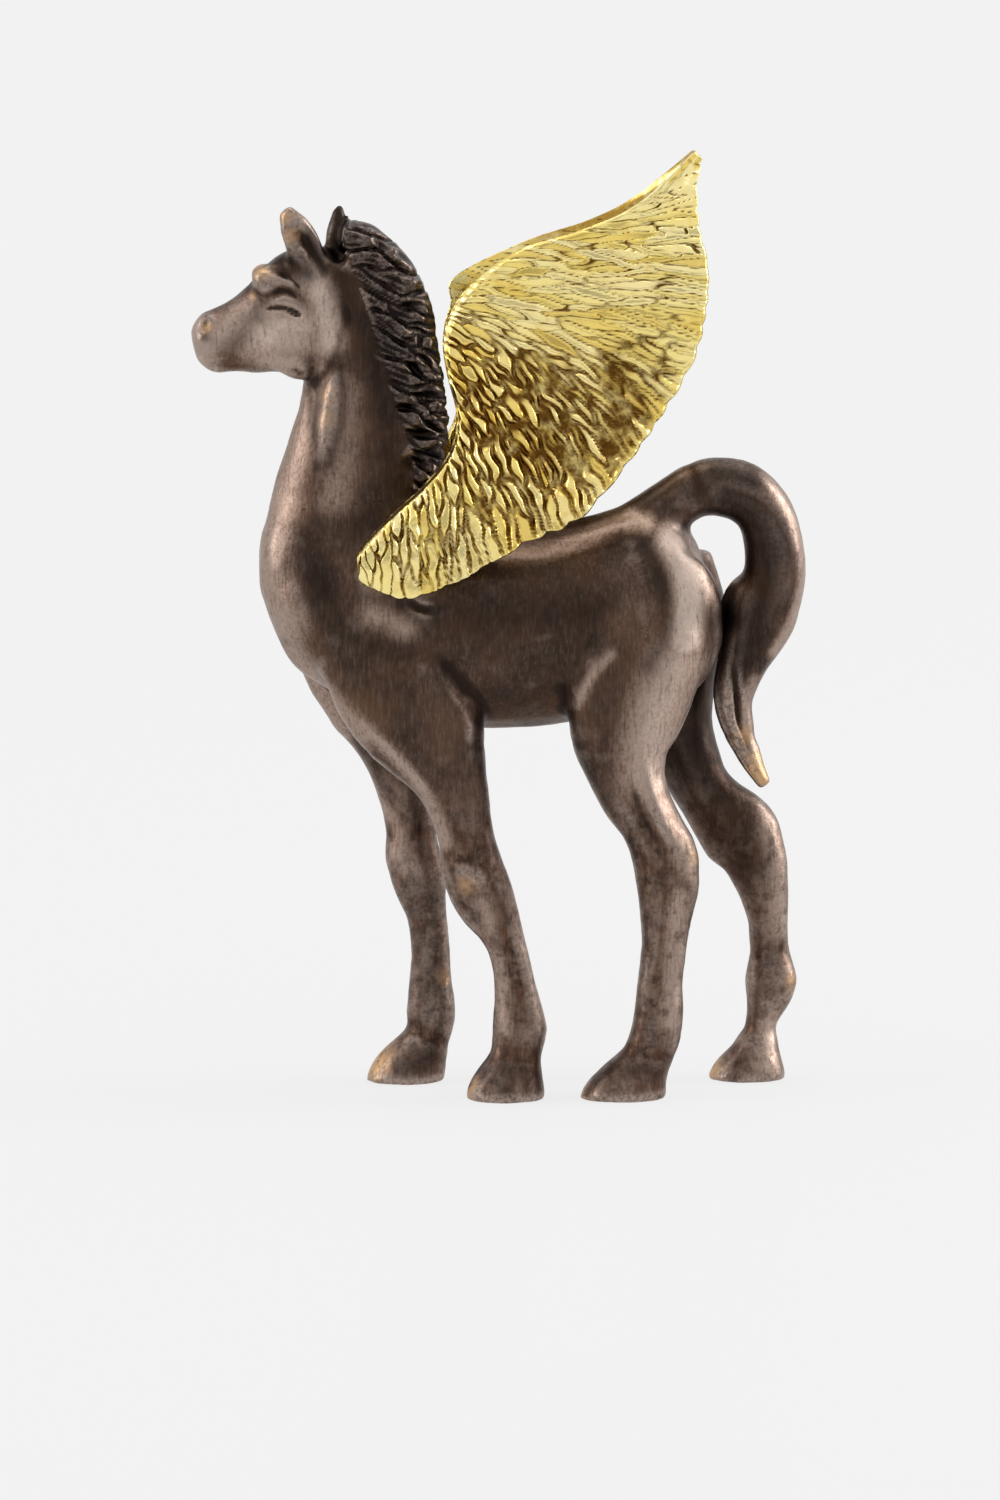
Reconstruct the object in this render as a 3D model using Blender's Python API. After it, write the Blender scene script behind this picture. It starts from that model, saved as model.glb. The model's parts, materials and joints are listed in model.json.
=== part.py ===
"""Winged foal statuette: a bronze cast in sections, with gilded wings on brass studs.

The foal is modelled whole, as a founder models the wax, and then sawn into sections: trunk, neck with head,
and four legs. The tail and the wings are forms of their own. Dowels and studs register the sections.
Frame: +Z up, the foal faces -X, its left side is -Y, and the hooves stand on z = 0. Tables are in mm.
"""

import math

import bmesh
import bpy
from mathutils import Matrix, Vector

MM = 0.001

# Driving dimensions
JOINT_GAP = 0.3
PIN_GAP = 0.2
LEG_JOINT_Z = 45.5
NECK_JOINT_POINT = (-18.0, 0.0, 76.0)
NECK_JOINT_NORMAL = (-0.12, 0.0, 0.993)
NECK_REAR_X = 4.0
TAIL_JOINT_POINT = (25.6, 0.0, 77.1)
TAIL_JOINT_NORMAL = (0.93, 0.0, 0.37)
MID_LENGTH_X = 7.5

# How finely the whole foal is meshed before it is sawn
FORM_VOXEL = 0.5
FORM_SMOOTHING = 5
FORM_KEPT_SHARE = 0.04
RING_SIDES = 24
TAIL_SIDES = 18
STATION_STEPS = 4
CREASE_ANGLE = 40

# Stations of a loft: centre x, y, z, half depth in the side view, half width across the foal
TRUNK = [
    (-30.2, 0, 67.8, 3.4, 3.0),
    (-28.8, 0, 67.3, 7.1, 5.6),
    (-26.3, 0, 66.0, 10.8, 7.2),
    (-23.0, 0, 64.8, 12.4, 8.4),
    (-14.0, 0, 62.2, 14.6, 9.5),
    (-5.0, 0, 60.2, 13.6, 10.0),
    (4.0, 0, 59.6, 13.0, 10.1),
    (12.0, 0, 60.9, 12.9, 9.5),
    (17.4, 0, 63.2, 12.0, 8.8),
    (22.2, 0, 64.0, 10.2, 7.4),
    (25.4, 0, 63.2, 6.5, 5.0),
    (26.4, 0, 62.6, 3.0, 2.5),
]
NECK = [
    (-16.0, 0, 66.0, 12.0, 7.6),
    (-18.0, 0, 72.0, 11.8, 7.2),
    (-18.1, 0, 78.2, 9.9, 6.2),
    (-16.8, 0, 85.0, 8.9, 5.2),
    (-16.3, 0, 91.0, 8.2, 4.7),
    (-15.4, 0, 97.5, 7.0, 4.4),
    (-16.2, 0, 103.0, 6.2, 4.2),
    (-19.0, 0, 106.6, 4.6, 3.8),
]
HEAD = [
    (-18.8, 0, 104.0, 5.6, 3.4),
    (-22.4, 0, 101.3, 7.6, 4.3),
    (-26.0, 0, 99.1, 7.3, 4.4),
    (-30.4, 0, 97.3, 5.6, 3.4),
    (-34.0, 0, 96.4, 4.4, 2.8),
    (-36.8, 0, 95.7, 3.8, 2.9),
    (-38.4, 0, 95.3, 2.2, 2.0),
]
CREST = [
    (-19.6, 0, 109.6, 1.6, 1.9),
    (-17.0, 0, 108.9, 2.2, 2.6),
    (-13.6, 0, 105.3, 2.5, 3.0),
    (-11.2, 0, 100.4, 2.7, 3.2),
    (-10.4, 0, 95.2, 2.8, 3.3),
    (-9.8, 0, 89.4, 2.9, 3.4),
    (-9.4, 0, 84.2, 2.9, 3.5),
    (-9.9, 0, 78.6, 2.6, 3.2),
    (-9.0, 0, 74.6, 1.6, 2.4),
]
DOCK = [
    (14.0, 0, 68.8, 5.0, 5.2),
    (18.4, 0, 72.0, 4.0, 4.2),
    (22.0, 0, 75.0, 3.5, 3.5),
    (25.6, 0, 77.1, 3.6, 3.3),
    (30.0, 0, 77.0, 3.8, 3.3),
]
TAIL = [
    (25.6, 0, 77.1, 3.6, 3.3),
    (30.0, 0, 77.0, 3.9, 3.4),
    (33.4, 0, 74.4, 3.7, 3.5),
    (35.0, 0, 70.0, 3.8, 3.7),
    (34.9, 0, 65.2, 4.1, 3.8),
    (33.3, 0, 61.8, 5.0, 3.7),
    (32.2, 0, 58.8, 4.5, 3.5),
    (30.8, 0, 54.8, 3.2, 3.0),
    (29.7, 0, 50.2, 2.6, 2.6),
    (30.5, 0, 46.2, 2.0, 2.1),
    (32.2, 0, 42.2, 1.45, 1.6),
    (34.0, 0, 39.0, 0.8, 0.9),
]
LEFT_FORELEG = [
    (-14.6, -4.6, 64.0, 9.0, 4.4),
    (-13.2, -5.6, 56.0, 9.4, 4.6),
    (-10.8, -6.2, 50.0, 8.6, 4.5),
    (-8.3, -6.5, 45.6, 7.0, 4.2),
    (-6.2, -6.7, 40.7, 4.8, 3.6),
    (-5.0, -6.8, 36.6, 3.9, 3.1),
    (-4.1, -6.8, 32.8, 3.6, 2.9),
    (-3.3, -6.8, 29.0, 4.1, 3.1),
    (-1.9, -6.8, 25.4, 3.9, 3.0),
    (0.3, -6.9, 21.2, 2.8, 2.4),
    (1.4, -7.0, 17.4, 2.5, 2.2),
    (2.0, -7.0, 13.4, 2.8, 2.4),
    (2.5, -7.0, 9.6, 3.5, 2.8),
    (2.3, -7.0, 7.2, 3.4, 2.8),
    (1.6, -7.0, 4.6, 3.0, 2.7),
]
RIGHT_FORELEG = [
    (-17.4, 4.6, 64.0, 9.0, 4.4),
    (-17.0, 5.6, 56.0, 8.6, 4.6),
    (-15.4, 6.2, 49.6, 6.8, 4.5),
    (-13.3, 6.5, 44.4, 5.0, 4.1),
    (-12.0, 6.7, 38.8, 3.7, 3.4),
    (-11.0, 6.8, 33.2, 3.2, 2.8),
    (-10.6, 6.8, 28.8, 3.6, 3.1),
    (-9.7, 6.8, 25.2, 3.4, 3.0),
    (-8.8, 6.9, 21.0, 2.6, 2.3),
    (-8.4, 7.0, 16.8, 2.5, 2.2),
    (-8.4, 7.0, 12.8, 2.8, 2.4),
    (-8.3, 7.0, 9.4, 3.2, 2.8),
    (-8.5, 7.0, 7.0, 3.0, 2.7),
    (-9.2, 7.0, 4.6, 2.8, 2.6),
]
LEFT_HIND_LEG = [
    (17.4, -4.2, 66.0, 9.4, 4.4),
    (17.6, -5.6, 59.5, 9.6, 4.8),
    (16.6, -6.3, 52.5, 8.2, 4.9),
    (15.5, -6.6, 46.6, 6.9, 4.6),
    (15.9, -6.7, 42.4, 5.3, 4.0),
    (17.2, -6.8, 38.4, 4.4, 3.5),
    (19.3, -6.8, 34.8, 3.9, 3.2),
    (20.8, -6.8, 31.2, 4.3, 3.2),
    (21.3, -6.8, 27.6, 4.1, 3.1),
    (21.1, -6.9, 23.4, 3.4, 2.7),
    (20.8, -7.0, 19.4, 2.9, 2.4),
    (20.4, -7.0, 15.4, 2.9, 2.4),
    (20.2, -7.0, 11.4, 3.2, 2.7),
    (19.7, -7.0, 8.0, 3.3, 2.8),
    (18.6, -7.0, 5.0, 3.2, 2.8),
]
RIGHT_HIND_LEG = [
    (18.6, 4.2, 66.0, 9.2, 4.4),
    (20.8, 5.6, 59.0, 9.0, 4.8),
    (21.6, 6.3, 52.0, 6.8, 4.9),
    (22.8, 6.6, 46.0, 5.0, 4.5),
    (24.5, 6.7, 41.2, 4.2, 3.9),
    (26.9, 6.8, 36.8, 3.9, 3.4),
    (30.9, 6.8, 32.2, 5.2, 3.3),
    (32.9, 6.8, 29.0, 4.3, 3.1),
    (34.1, 6.8, 25.0, 3.5, 2.8),
    (34.7, 6.9, 21.0, 2.7, 2.4),
    (35.0, 7.0, 17.0, 2.5, 2.2),
    (35.2, 7.0, 13.0, 3.4, 2.7),
    (34.7, 7.0, 10.2, 2.9, 2.6),
    (34.0, 7.0, 7.6, 2.0, 2.2),
    (33.6, 7.0, 5.0, 2.2, 2.4),
]

# Stations of a hoof, level rings from the coronet down past the ground: x, y, z, half length, half width
LEFT_FORE_HOOF = [
    (1.8, -7.0, 5.6, 3.2, 2.8),
    (1.2, -7.0, 3.8, 4.1, 3.4),
    (0.8, -7.0, 1.6, 4.8, 3.9),
    (0.7, -7.0, -1.2, 5.2, 4.2),
]
RIGHT_FORE_HOOF = [
    (-9.3, 7.0, 6.0, 3.2, 2.8),
    (-10.4, 7.0, 4.0, 4.2, 3.4),
    (-11.3, 7.0, 1.8, 4.9, 3.9),
    (-11.9, 7.0, -1.2, 5.1, 4.2),
]
LEFT_HIND_HOOF = [
    (18.6, -7.0, 5.8, 3.5, 2.9),
    (17.2, -7.0, 3.9, 4.4, 3.5),
    (16.0, -7.0, 1.8, 5.2, 4.0),
    (15.4, -7.0, -1.2, 5.8, 4.2),
]
RIGHT_HIND_HOOF = [
    (33.6, 7.0, 6.0, 2.3, 2.5),
    (33.1, 7.0, 4.0, 3.2, 3.2),
    (32.4, 7.0, 1.8, 4.5, 3.8),
    (31.9, 7.0, -1.2, 5.4, 4.2),
]

# Ears, from the base to the tip
LEFT_EAR = [
    (-23.9, -2.6, 105.4, 2.2, 1.2),
    (-24.4, -2.9, 108.0, 2.4, 1.5),
    (-25.7, -3.2, 110.9, 2.0, 1.2),
    (-27.1, -3.3, 113.2, 1.0, 0.7),
]
RIGHT_EAR = [
    (-20.2, 2.6, 106.6, 1.6, 1.1),
    (-20.2, 2.9, 109.4, 1.7, 1.3),
    (-20.1, 3.1, 111.4, 1.1, 0.9),
    (-20.1, 3.2, 113.0, 0.7, 0.6),
]

# Muscles on both sides: centre on the left side, radii, and lean of the top towards the tail in degrees
MUSCLES = [
    ((-16.4, -5.6, 63.4), (6.2, 4.2, 11.5), 26),
    ((-23.6, -4.4, 63.5), (4.6, 4.0, 7.5), -6),
    ((-13.0, -6.4, 51.5), (7.0, 4.0, 5.4), 0),
    ((18.4, -5.0, 62.8), (8.2, 4.0, 9.6), -20),
    ((23.4, -4.4, 60.5), (5.0, 4.0, 9.0), 0),
    ((13.0, -6.4, 55.0), (5.0, 4.0, 7.0), 20),
    ((-24.8, -2.5, 96.8), (5.2, 2.3, 5.6), 0),
    ((-28.8, -2.6, 103.6), (2.7, 1.7, 1.9), 30),
    ((-26.9, -3.3, 101.0), (1.6, 1.2, 1.0), 15),
    ((-27.0, -0.8, 105.7), (3.4, 1.4, 1.5), -32),
    ((-36.6, -1.4, 96.6), (1.8, 1.9, 2.1), 0),
    ((-21.0, -3.2, 84.0), (2.6, 2.6, 11.0), 8),
]

# Wing stations, root to tip: leading edge x, z, trailing edge x, z, how far each is from the mid plane, and
# how far the right wing's leading edge lies behind the left one's
WING = [
    (-18.2, 70.4, -17.9, 66.9, 10.9, 10.9, 0.0),
    (-16.4, 72.6, -15.2, 65.6, 10.9, 10.9, 0.0),
    (-13.2, 75.8, -11.4, 64.7, 10.9, 10.9, 0.0),
    (-9.5, 79.2, -4.4, 67.3, 10.4, 11.0, 0.0),
    (-6.6, 82.8, 3.0, 71.6, 9.4, 11.0, 0.3),
    (-5.5, 87.2, 10.0, 74.8, 8.4, 10.6, 0.6),
    (-6.7, 92.6, 15.6, 81.0, 7.4, 9.8, 0.6),
    (-7.2, 96.8, 20.6, 88.0, 6.9, 8.8, 0.6),
    (-6.4, 100.0, 24.4, 94.6, 6.7, 8.1, 0.6),
    (-4.0, 103.5, 26.0, 101.0, 6.6, 7.2, -1.2),
    (2.0, 108.0, 26.2, 106.0, 6.6, 6.4, 1.8),
    (10.2, 110.6, 25.2, 110.6, 6.2, 5.4, 1.4),
    (17.4, 113.8, 24.4, 115.2, 5.0, 4.0, 0.2),
    (24.6, 120.0, 25.2, 119.2, 2.0, 2.1, 0.2),
]
WING_ROOT_THICKNESS = 4.4
WING_EDGE_THICKNESS = 2.8
WING_TIP_THICKNESS = 1.0
WING_LEAST_THICKNESS = 0.5
WING_TRAILING_SHARE = 0.35
WING_NOSE_SHARE = 0.22
# Shares of the wing's length: how far the stout arm fades out, and where the taper to the tip begins
WING_ARM_END = 0.42
WING_TIP_START = 0.55
WING_SEAT_Y = 8.5
WING_CUP = 1.1
WING_ROWS = 7
FEATHERS = 19
FEATHER_RIDGE = 0.7
FEATHER_SCALLOP = 0.9
# Across one feather, from the one below it: how far over, and how high it stands before it drops to the next
FEATHER_PROFILE = [(0.08, 0.0), (0.36, 0.5), (0.64, 0.85), (0.92, 1.0)]

# Strands at the tail's lower end: how many, where along the tail they begin, how high they stand as a share
# of its radius, and how far they twist in radians
TAIL_STRANDS = 3
STRAND_START = 0.45
STRAND_HEIGHT = 0.09
STRAND_TWIST = 4.0

# Locks of the mane on each side: how many, their half length, thickness and width, how far they
# droop in degrees, and how far they spread as a share of the crest's half width
MANE_LOCKS = 11
LOCK_SIZE = (4.3, 1.2, 1.3)
LOCK_DROOP = 24
LOCK_SPREAD = 1.12

# Pins: radius and length
LEG_DOWEL = (1.0, 10.0)
NECK_DOWEL = (1.25, 12.0)
TAIL_DOWEL = (0.8, 7.0)
WING_STUD = (1.0, 6.6)
PIN_SIDES = 10
PIN_CHAMFER = 0.25

# Where the pins stand: x in the neck's joint, x and y in a leg's joint, and x and z in a wing's seat
NECK_DOWELS = {"neck_dowel_front": -22.5, "neck_dowel_rear": -13.5}
LEG_DOWELS = {
    "left_foreleg": (-9.0, -6.4),
    "right_foreleg": (-13.6, 6.4),
    "left_hind_leg": (15.4, -6.6),
    "right_hind_leg": (23.8, 6.6),
}
WING_STUDS = {"front": (-14.6, 69.4), "rear": (-9.2, 67.0)}
WING_STUD_MIDDLE_Y = 8.0

BRONZE = ("patinated_bronze", (0.085, 0.055, 0.042, 1.0), 0.42)
GILT = ("gilt_bronze", (0.85, 0.58, 0.18, 1.0), 0.22)
BRASS = ("brass_pin", (0.62, 0.47, 0.2, 1.0), 0.35)


def clear_scene():
    """Takes out whatever the scene holds."""
    for item in list(bpy.data.objects):
        bpy.data.objects.remove(item, do_unlink=True)


def material(name, colour, roughness):
    """A metal with that colour and roughness."""
    made = bpy.data.materials.get(name) or bpy.data.materials.new(name)
    made.use_nodes = True
    shader = made.node_tree.nodes["Principled BSDF"]
    shader.inputs["Base Color"].default_value = colour
    shader.inputs["Metallic"].default_value = 1.0
    shader.inputs["Roughness"].default_value = roughness
    return made


def new_object(name, bm, finish=None):
    """Turns a bmesh into a smooth-shaded object; without a finish it is a hidden guide or cutter."""
    bmesh.ops.recalc_face_normals(bm, faces=bm.faces)
    mesh = bpy.data.meshes.new(name)
    bm.to_mesh(mesh)
    bm.free()
    return place(name, mesh, finish)


def place(name, mesh, finish=None):
    """An object of that mesh in the scene, hidden as a guide or cutter unless it has a finish."""
    made = bpy.data.objects.new(name, mesh)
    bpy.context.scene.collection.objects.link(made)
    if finish:
        mesh.materials.append(material(*finish))
        mesh.shade_smooth()
    else:
        made.hide_render = True
        made.display_type = "WIRE"
    return made


def curve_row(rows, at):
    """The row of numbers at a place on a Catmull-Rom curve through the rows, where each row is one apart."""
    i = min(int(at), len(rows) - 2)
    t = at - i
    four = rows[max(i - 1, 0)], rows[i], rows[i + 1], rows[min(i + 2, len(rows) - 1)]
    return [
        b + 0.5 * t * (c - a + t * (2 * a - 5 * b + 4 * c - d + t * (3 * b - a - 3 * c + d)))
        for a, b, c, d in zip(*four)
    ]


def smooth_rows(rows, steps):
    """Rows along the curve, with that many steps from one given row to the next."""
    return [curve_row(rows, i / steps) for i in range((len(rows) - 1) * steps + 1)]


def skin_rings(bm, rings):
    """Faces between neighbouring rings of points, with a cap on each end."""
    loops = [[bm.verts.new(point) for point in ring] for ring in rings]
    for near, far in zip(loops, loops[1:]):
        for i in range(len(near)):
            j = (i + 1) % len(near)
            bm.faces.new((near[i], near[j], far[j], far[i]))
    bm.faces.new(loops[0][::-1])
    bm.faces.new(loops[-1])


def loft(bm, stations, facing=None, start=None, swell=None, sides=RING_SIDES):
    """A closed tube through the stations.

    Rings lie square to the tube, or all square to facing; start turns only the first ring.
    swell(angle, share) widens a ring at an angle round it, where share runs from 0 to 1 along the tube.
    """
    rows = smooth_rows(stations, STATION_STEPS)
    centres = [Vector(row[:3]) for row in rows]
    last = len(rows) - 1
    rings = []
    for i, (centre, row) in enumerate(zip(centres, rows)):
        tangent = centres[min(i + 1, last)] - centres[max(i - 1, 0)]
        if facing or (start and i == 0):
            tangent = Vector(facing or start)
        tangent.normalize()
        across = Vector((0, 1, 0))
        upward = across.cross(tangent)
        ring = []
        for side in range(sides):
            angle = 2 * math.pi * side / sides
            size = 1 + swell(angle, i / last) if swell else 1
            reach = upward * row[3] * math.cos(angle) + across * row[4] * math.sin(angle)
            ring.append((centre + reach * size) * MM)
        rings.append(ring)
    skin_rings(bm, rings)


def ellipsoid(bm, centre, radii, lean):
    """An ellipsoid that leans in the side view by that many degrees."""
    turn = Matrix.Rotation(math.radians(lean), 4, "Y")
    size = Matrix.Diagonal((*(radius * MM for radius in radii), 1))
    where = Matrix.Translation(Vector(centre) * MM)
    bmesh.ops.create_uvsphere(bm, u_segments=24, v_segments=16, radius=1, matrix=where @ turn @ size)


def muscle(bm, centre, radii, lean):
    """A muscle on each side of the foal."""
    x, y, z = centre
    for side in (1, -1):
        ellipsoid(bm, (x, side * y, z), radii, lean)


def mane_locks(bm):
    """Locks from the crest across each side of the neck, evenly spaced from the poll to the withers."""
    for lock in range(MANE_LOCKS):
        at = (lock + 0.5) / MANE_LOCKS * (len(CREST) - 1)
        x, _, z, depth, width = curve_row(CREST, at)
        ahead = curve_row(CREST, at + 0.1)
        lean = math.degrees(math.atan2(ahead[0] - x, z - ahead[2])) + LOCK_DROOP
        reach = LOCK_SIZE[0] - depth
        lean_angle = math.radians(lean)
        centre = (x - reach * math.cos(lean_angle), LOCK_SPREAD * width, z - reach * math.sin(lean_angle))
        muscle(bm, centre, LOCK_SIZE, -lean)


def tail_strands(angle, share):
    """Twisted strands of hair, which part towards the tail's end."""
    parted = max(0.0, share - STRAND_START) / (1 - STRAND_START)
    return STRAND_HEIGHT * min(1, 3 * parted) * math.cos(TAIL_STRANDS * angle + STRAND_TWIST * share)


def whole_foal():
    """The foal in one piece, with neither tail nor wings: lofts and muscles fused and smoothed."""
    bm = bmesh.new()
    loft(bm, TRUNK, facing=(1, 0, 0))
    for stations in (NECK, HEAD, CREST, DOCK, LEFT_EAR, RIGHT_EAR):
        loft(bm, stations)
    for leg in (LEFT_FORELEG, RIGHT_FORELEG, LEFT_HIND_LEG, RIGHT_HIND_LEG):
        loft(bm, leg)
    for hoof in (LEFT_FORE_HOOF, RIGHT_FORE_HOOF, LEFT_HIND_HOOF, RIGHT_HIND_HOOF):
        loft(bm, hoof, facing=(0, 0, -1))
    for shape in MUSCLES:
        muscle(bm, *shape)
    mane_locks(bm)
    form = new_object("foal_form", bm)
    fuse = form.modifiers.new("fuse", "REMESH")
    fuse.mode = "VOXEL"
    fuse.voxel_size = FORM_VOXEL * MM
    soften = form.modifiers.new("soften", "SMOOTH")
    soften.factor = 0.5
    soften.iterations = FORM_SMOOTHING
    thin_out = form.modifiers.new("thin_out", "DECIMATE")
    thin_out.ratio = FORM_KEPT_SHARE
    return settled_mesh(form)


def settled_mesh(item):
    """A new mesh of the object with its modifiers carried out."""
    bpy.context.view_layer.update()
    return bpy.data.meshes.new_from_object(item.evaluated_get(bpy.context.evaluated_depsgraph_get()))


def settle(item):
    """Carries out an object's cuts, and shades it smooth up to its creases."""
    item.data = settled_mesh(item)
    item.modifiers.clear()
    item.data.set_sharp_from_angle(angle=math.radians(CREASE_ANGLE))


def region(name, planes, half_size=80.0):
    """A hidden convex cutter: a block trimmed by planes, each a point and the normal of what is taken off."""
    bm = bmesh.new()
    bmesh.ops.create_cube(bm, size=2 * half_size * MM, matrix=Matrix.Translation((0, 0, half_size * MM)))
    for point, normal in planes:
        cut = bmesh.ops.bisect_plane(
            bm,
            geom=[*bm.verts, *bm.edges, *bm.faces],
            plane_co=Vector(point) * MM,
            plane_no=Vector(normal),
            clear_outer=True,
        )
        edges = [item for item in cut["geom_cut"] if isinstance(item, bmesh.types.BMEdge)]
        if edges:
            bmesh.ops.contextual_create(bm, geom=edges)
    return new_object(name, bm)


def offset_plane(point, normal, distance):
    """A joint's plane moved along its normal, in millimetres."""
    return tuple(Vector(point) + Vector(normal).normalized() * distance), tuple(normal)


def flipped(plane):
    """The same plane, with its other side taken off."""
    return plane[0], tuple(-part for part in plane[1])


def boolean(item, operation, other):
    """A live cut of one object by another."""
    cut = item.modifiers.new(f"{operation.lower()}_{other.name}", "BOOLEAN")
    cut.operation = operation
    cut.solver = "EXACT"
    cut.object = other


def pin_shape(radius, length, chamfer):
    """A round bar along +Z, centred on its own middle."""
    bm = bmesh.new()
    half = length / 2
    turns = [2 * math.pi * i / PIN_SIDES for i in range(PIN_SIDES)]
    rings = []
    for inset, z in ((chamfer, -half), (0, chamfer - half), (0, half - chamfer), (chamfer, half)):
        r = (radius - inset) * MM
        rings.append([(r * math.cos(a), r * math.sin(a), z * MM) for a in turns])
    skin_rings(bm, rings)
    return bm


def pin(name, size, middle, direction, hosts):
    """A brass pin, and its socket in each of the castings that it joins."""
    radius, length = size
    turn = Vector(direction).to_track_quat("Z", "Y")
    socket = new_object(name + "_socket", pin_shape(radius + PIN_GAP, length + 2 * PIN_GAP, PIN_CHAMFER))
    bar = new_object(name, pin_shape(radius, length, PIN_CHAMFER), BRASS)
    bar.data.set_sharp_from_angle(angle=math.radians(CREASE_ANGLE))
    for item in (socket, bar):
        item.location = Vector(middle) * MM
        item.rotation_mode = "QUATERNION"
        item.rotation_quaternion = turn
    for host in hosts:
        boolean(host, "DIFFERENCE", socket)
    return bar


def wing_thickness(along, across):
    """Full thickness of a wing: a stout arm at the root, a rounded leading edge and a thin trailing edge."""
    arm = max(0.0, 1 - along / WING_ARM_END)
    tip = max(0.0, (along - WING_TIP_START) / (1 - WING_TIP_START))
    nose = min(1.0, across / WING_NOSE_SHARE)
    tail = max(0.0, (across - WING_NOSE_SHARE) / (1 - WING_NOSE_SHARE))
    full = WING_EDGE_THICKNESS + (WING_ROOT_THICKNESS - WING_EDGE_THICKNESS) * min(1, 1.6 * arm)
    full += (WING_TIP_THICKNESS - full) * tip
    taper = 1 - (1 - WING_TRAILING_SHARE) * tail ** (1 + 2 * arm)
    return full * math.sqrt(1 - (1 - nose) ** 2) * taper


def wing_ring(along, share, lift, side):
    """One closed section of a wing, from the leading edge over the outer face to the trailing edge and back.

    along runs from the root to the tip, and share and lift place the section on its feather.
    """
    lead_x, lead_z, trail_x, trail_z, lead_y, trail_y, set_back = curve_row(WING, along * (len(WING) - 1))
    lead = Vector((lead_x + max(side, 0) * set_back, lead_y, lead_z))
    trail = Vector((trail_x, trail_y, trail_z))
    scallop = FEATHER_SCALLOP * (math.sin(math.pi * share) - 0.5) * min(1, 4 * along)
    trail += (trail - lead).normalized() * scallop
    outer, inner = [], []
    for row in range(WING_ROWS + 1):
        across = row / WING_ROWS
        middle = lead.lerp(trail, across)
        middle.y -= WING_CUP * math.sin(math.pi * across) * min(1, 2 * along)
        full = wing_thickness(along, across) + FEATHER_RIDGE * (lift - 0.5) * min(1, 3 * across)
        half = max(full, WING_LEAST_THICKNESS) / 2 if row else 0.0
        inner_y = max(middle.y - half, min(middle.y, WING_SEAT_Y))
        outer.append(Vector((middle.x, side * (middle.y + half), middle.z)) * MM)
        inner.append(Vector((middle.x, side * inner_y, middle.z)) * MM)
    return outer + inner[:0:-1]


def wing(name, side):
    """A gilded wing: sections from the shoulder to the tip, ridged into overlapping feathers."""
    rings = []
    for feather in range(FEATHERS):
        for share, lift in FEATHER_PROFILE:
            rings.append(wing_ring((feather + share) / FEATHERS, share, lift, side))
    bm = bmesh.new()
    skin_rings(bm, rings)
    return new_object(name, bm, GILT)


def wing_seat(made):
    """A hidden cutter that leaves the joint's gap round a wing where it sits in the shoulder."""
    seat = place(made.name + "_seat", made.data.copy())
    swell = seat.modifiers.new("clearance", "DISPLACE")
    swell.strength = JOINT_GAP * MM
    swell.mid_level = 0
    return seat


def casting(name, form, keep):
    """A section of the whole foal, kept inside a region."""
    made = place(name, form.copy(), BRONZE)
    boolean(made, "INTERSECT", keep)
    return made


def leg_region(name, x, y):
    """Everything from the leg joint to the ground in the quarter of the statuette where x and y lie."""
    top = ((0, 0, LEG_JOINT_Z - JOINT_GAP / 2), (0, 0, 1))
    floor = ((0, 0, 0), (0, 0, -1))
    end = ((MID_LENGTH_X, 0, 0), (math.copysign(1, MID_LENGTH_X - x), 0, 0))
    flank = ((0, 0, 0), (0, math.copysign(1, -y), 0))
    return region(name + "_region", [top, floor, end, flank])


def build():
    """Every casting and pin, under one empty."""
    clear_scene()
    form = whole_foal()
    neck_below = offset_plane(NECK_JOINT_POINT, NECK_JOINT_NORMAL, -JOINT_GAP / 2)
    neck_above = flipped(offset_plane(NECK_JOINT_POINT, NECK_JOINT_NORMAL, JOINT_GAP / 2))
    dock_end = offset_plane(TAIL_JOINT_POINT, TAIL_JOINT_NORMAL, -JOINT_GAP)
    belly = ((0, 0, LEG_JOINT_Z + JOINT_GAP / 2), (0, 0, -1))
    neck_rear = ((NECK_REAR_X, 0, 0), (1, 0, 0))

    trunk = casting("trunk", form, region("trunk_region", [neck_below, dock_end, belly]))
    neck = casting("neck_and_head", form, region("neck_region", [neck_above, neck_rear]))
    legs = {name: casting(name, form, leg_region(name, *spot)) for name, spot in LEG_DOWELS.items()}

    bm = bmesh.new()
    loft(bm, TAIL, start=TAIL_JOINT_NORMAL, swell=tail_strands, sides=TAIL_SIDES)
    tail = new_object("tail", bm, BRONZE)

    wings = {-1: wing("left_wing", -1), 1: wing("right_wing", 1)}
    for made in wings.values():
        boolean(trunk, "DIFFERENCE", wing_seat(made))

    pins = [pin("tail_dowel", TAIL_DOWEL, TAIL_JOINT_POINT, TAIL_JOINT_NORMAL, (trunk, tail))]
    for name, x in NECK_DOWELS.items():
        joint_x, _, joint_z = NECK_JOINT_POINT
        z = joint_z - (x - joint_x) * NECK_JOINT_NORMAL[0] / NECK_JOINT_NORMAL[2]
        pins.append(pin(name, NECK_DOWEL, (x, 0, z), NECK_JOINT_NORMAL, (trunk, neck)))
    for name, (x, y) in LEG_DOWELS.items():
        pins.append(pin(name + "_dowel", LEG_DOWEL, (x, y, LEG_JOINT_Z), (0, 0, 1), (trunk, legs[name])))
    for label, (x, z) in WING_STUDS.items():
        for side, made in wings.items():
            middle = (x, side * WING_STUD_MIDDLE_Y, z)
            pins.append(pin(f"{made.name}_stud_{label}", WING_STUD, middle, (0, side, 0), (trunk, made)))

    statuette = bpy.data.objects.new("statuette", None)
    bpy.context.scene.collection.objects.link(statuette)
    for item in (trunk, neck, *legs.values(), tail, *wings.values()):
        settle(item)
        item.parent = statuette
    for item in pins:
        item.parent = statuette


build()
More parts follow.
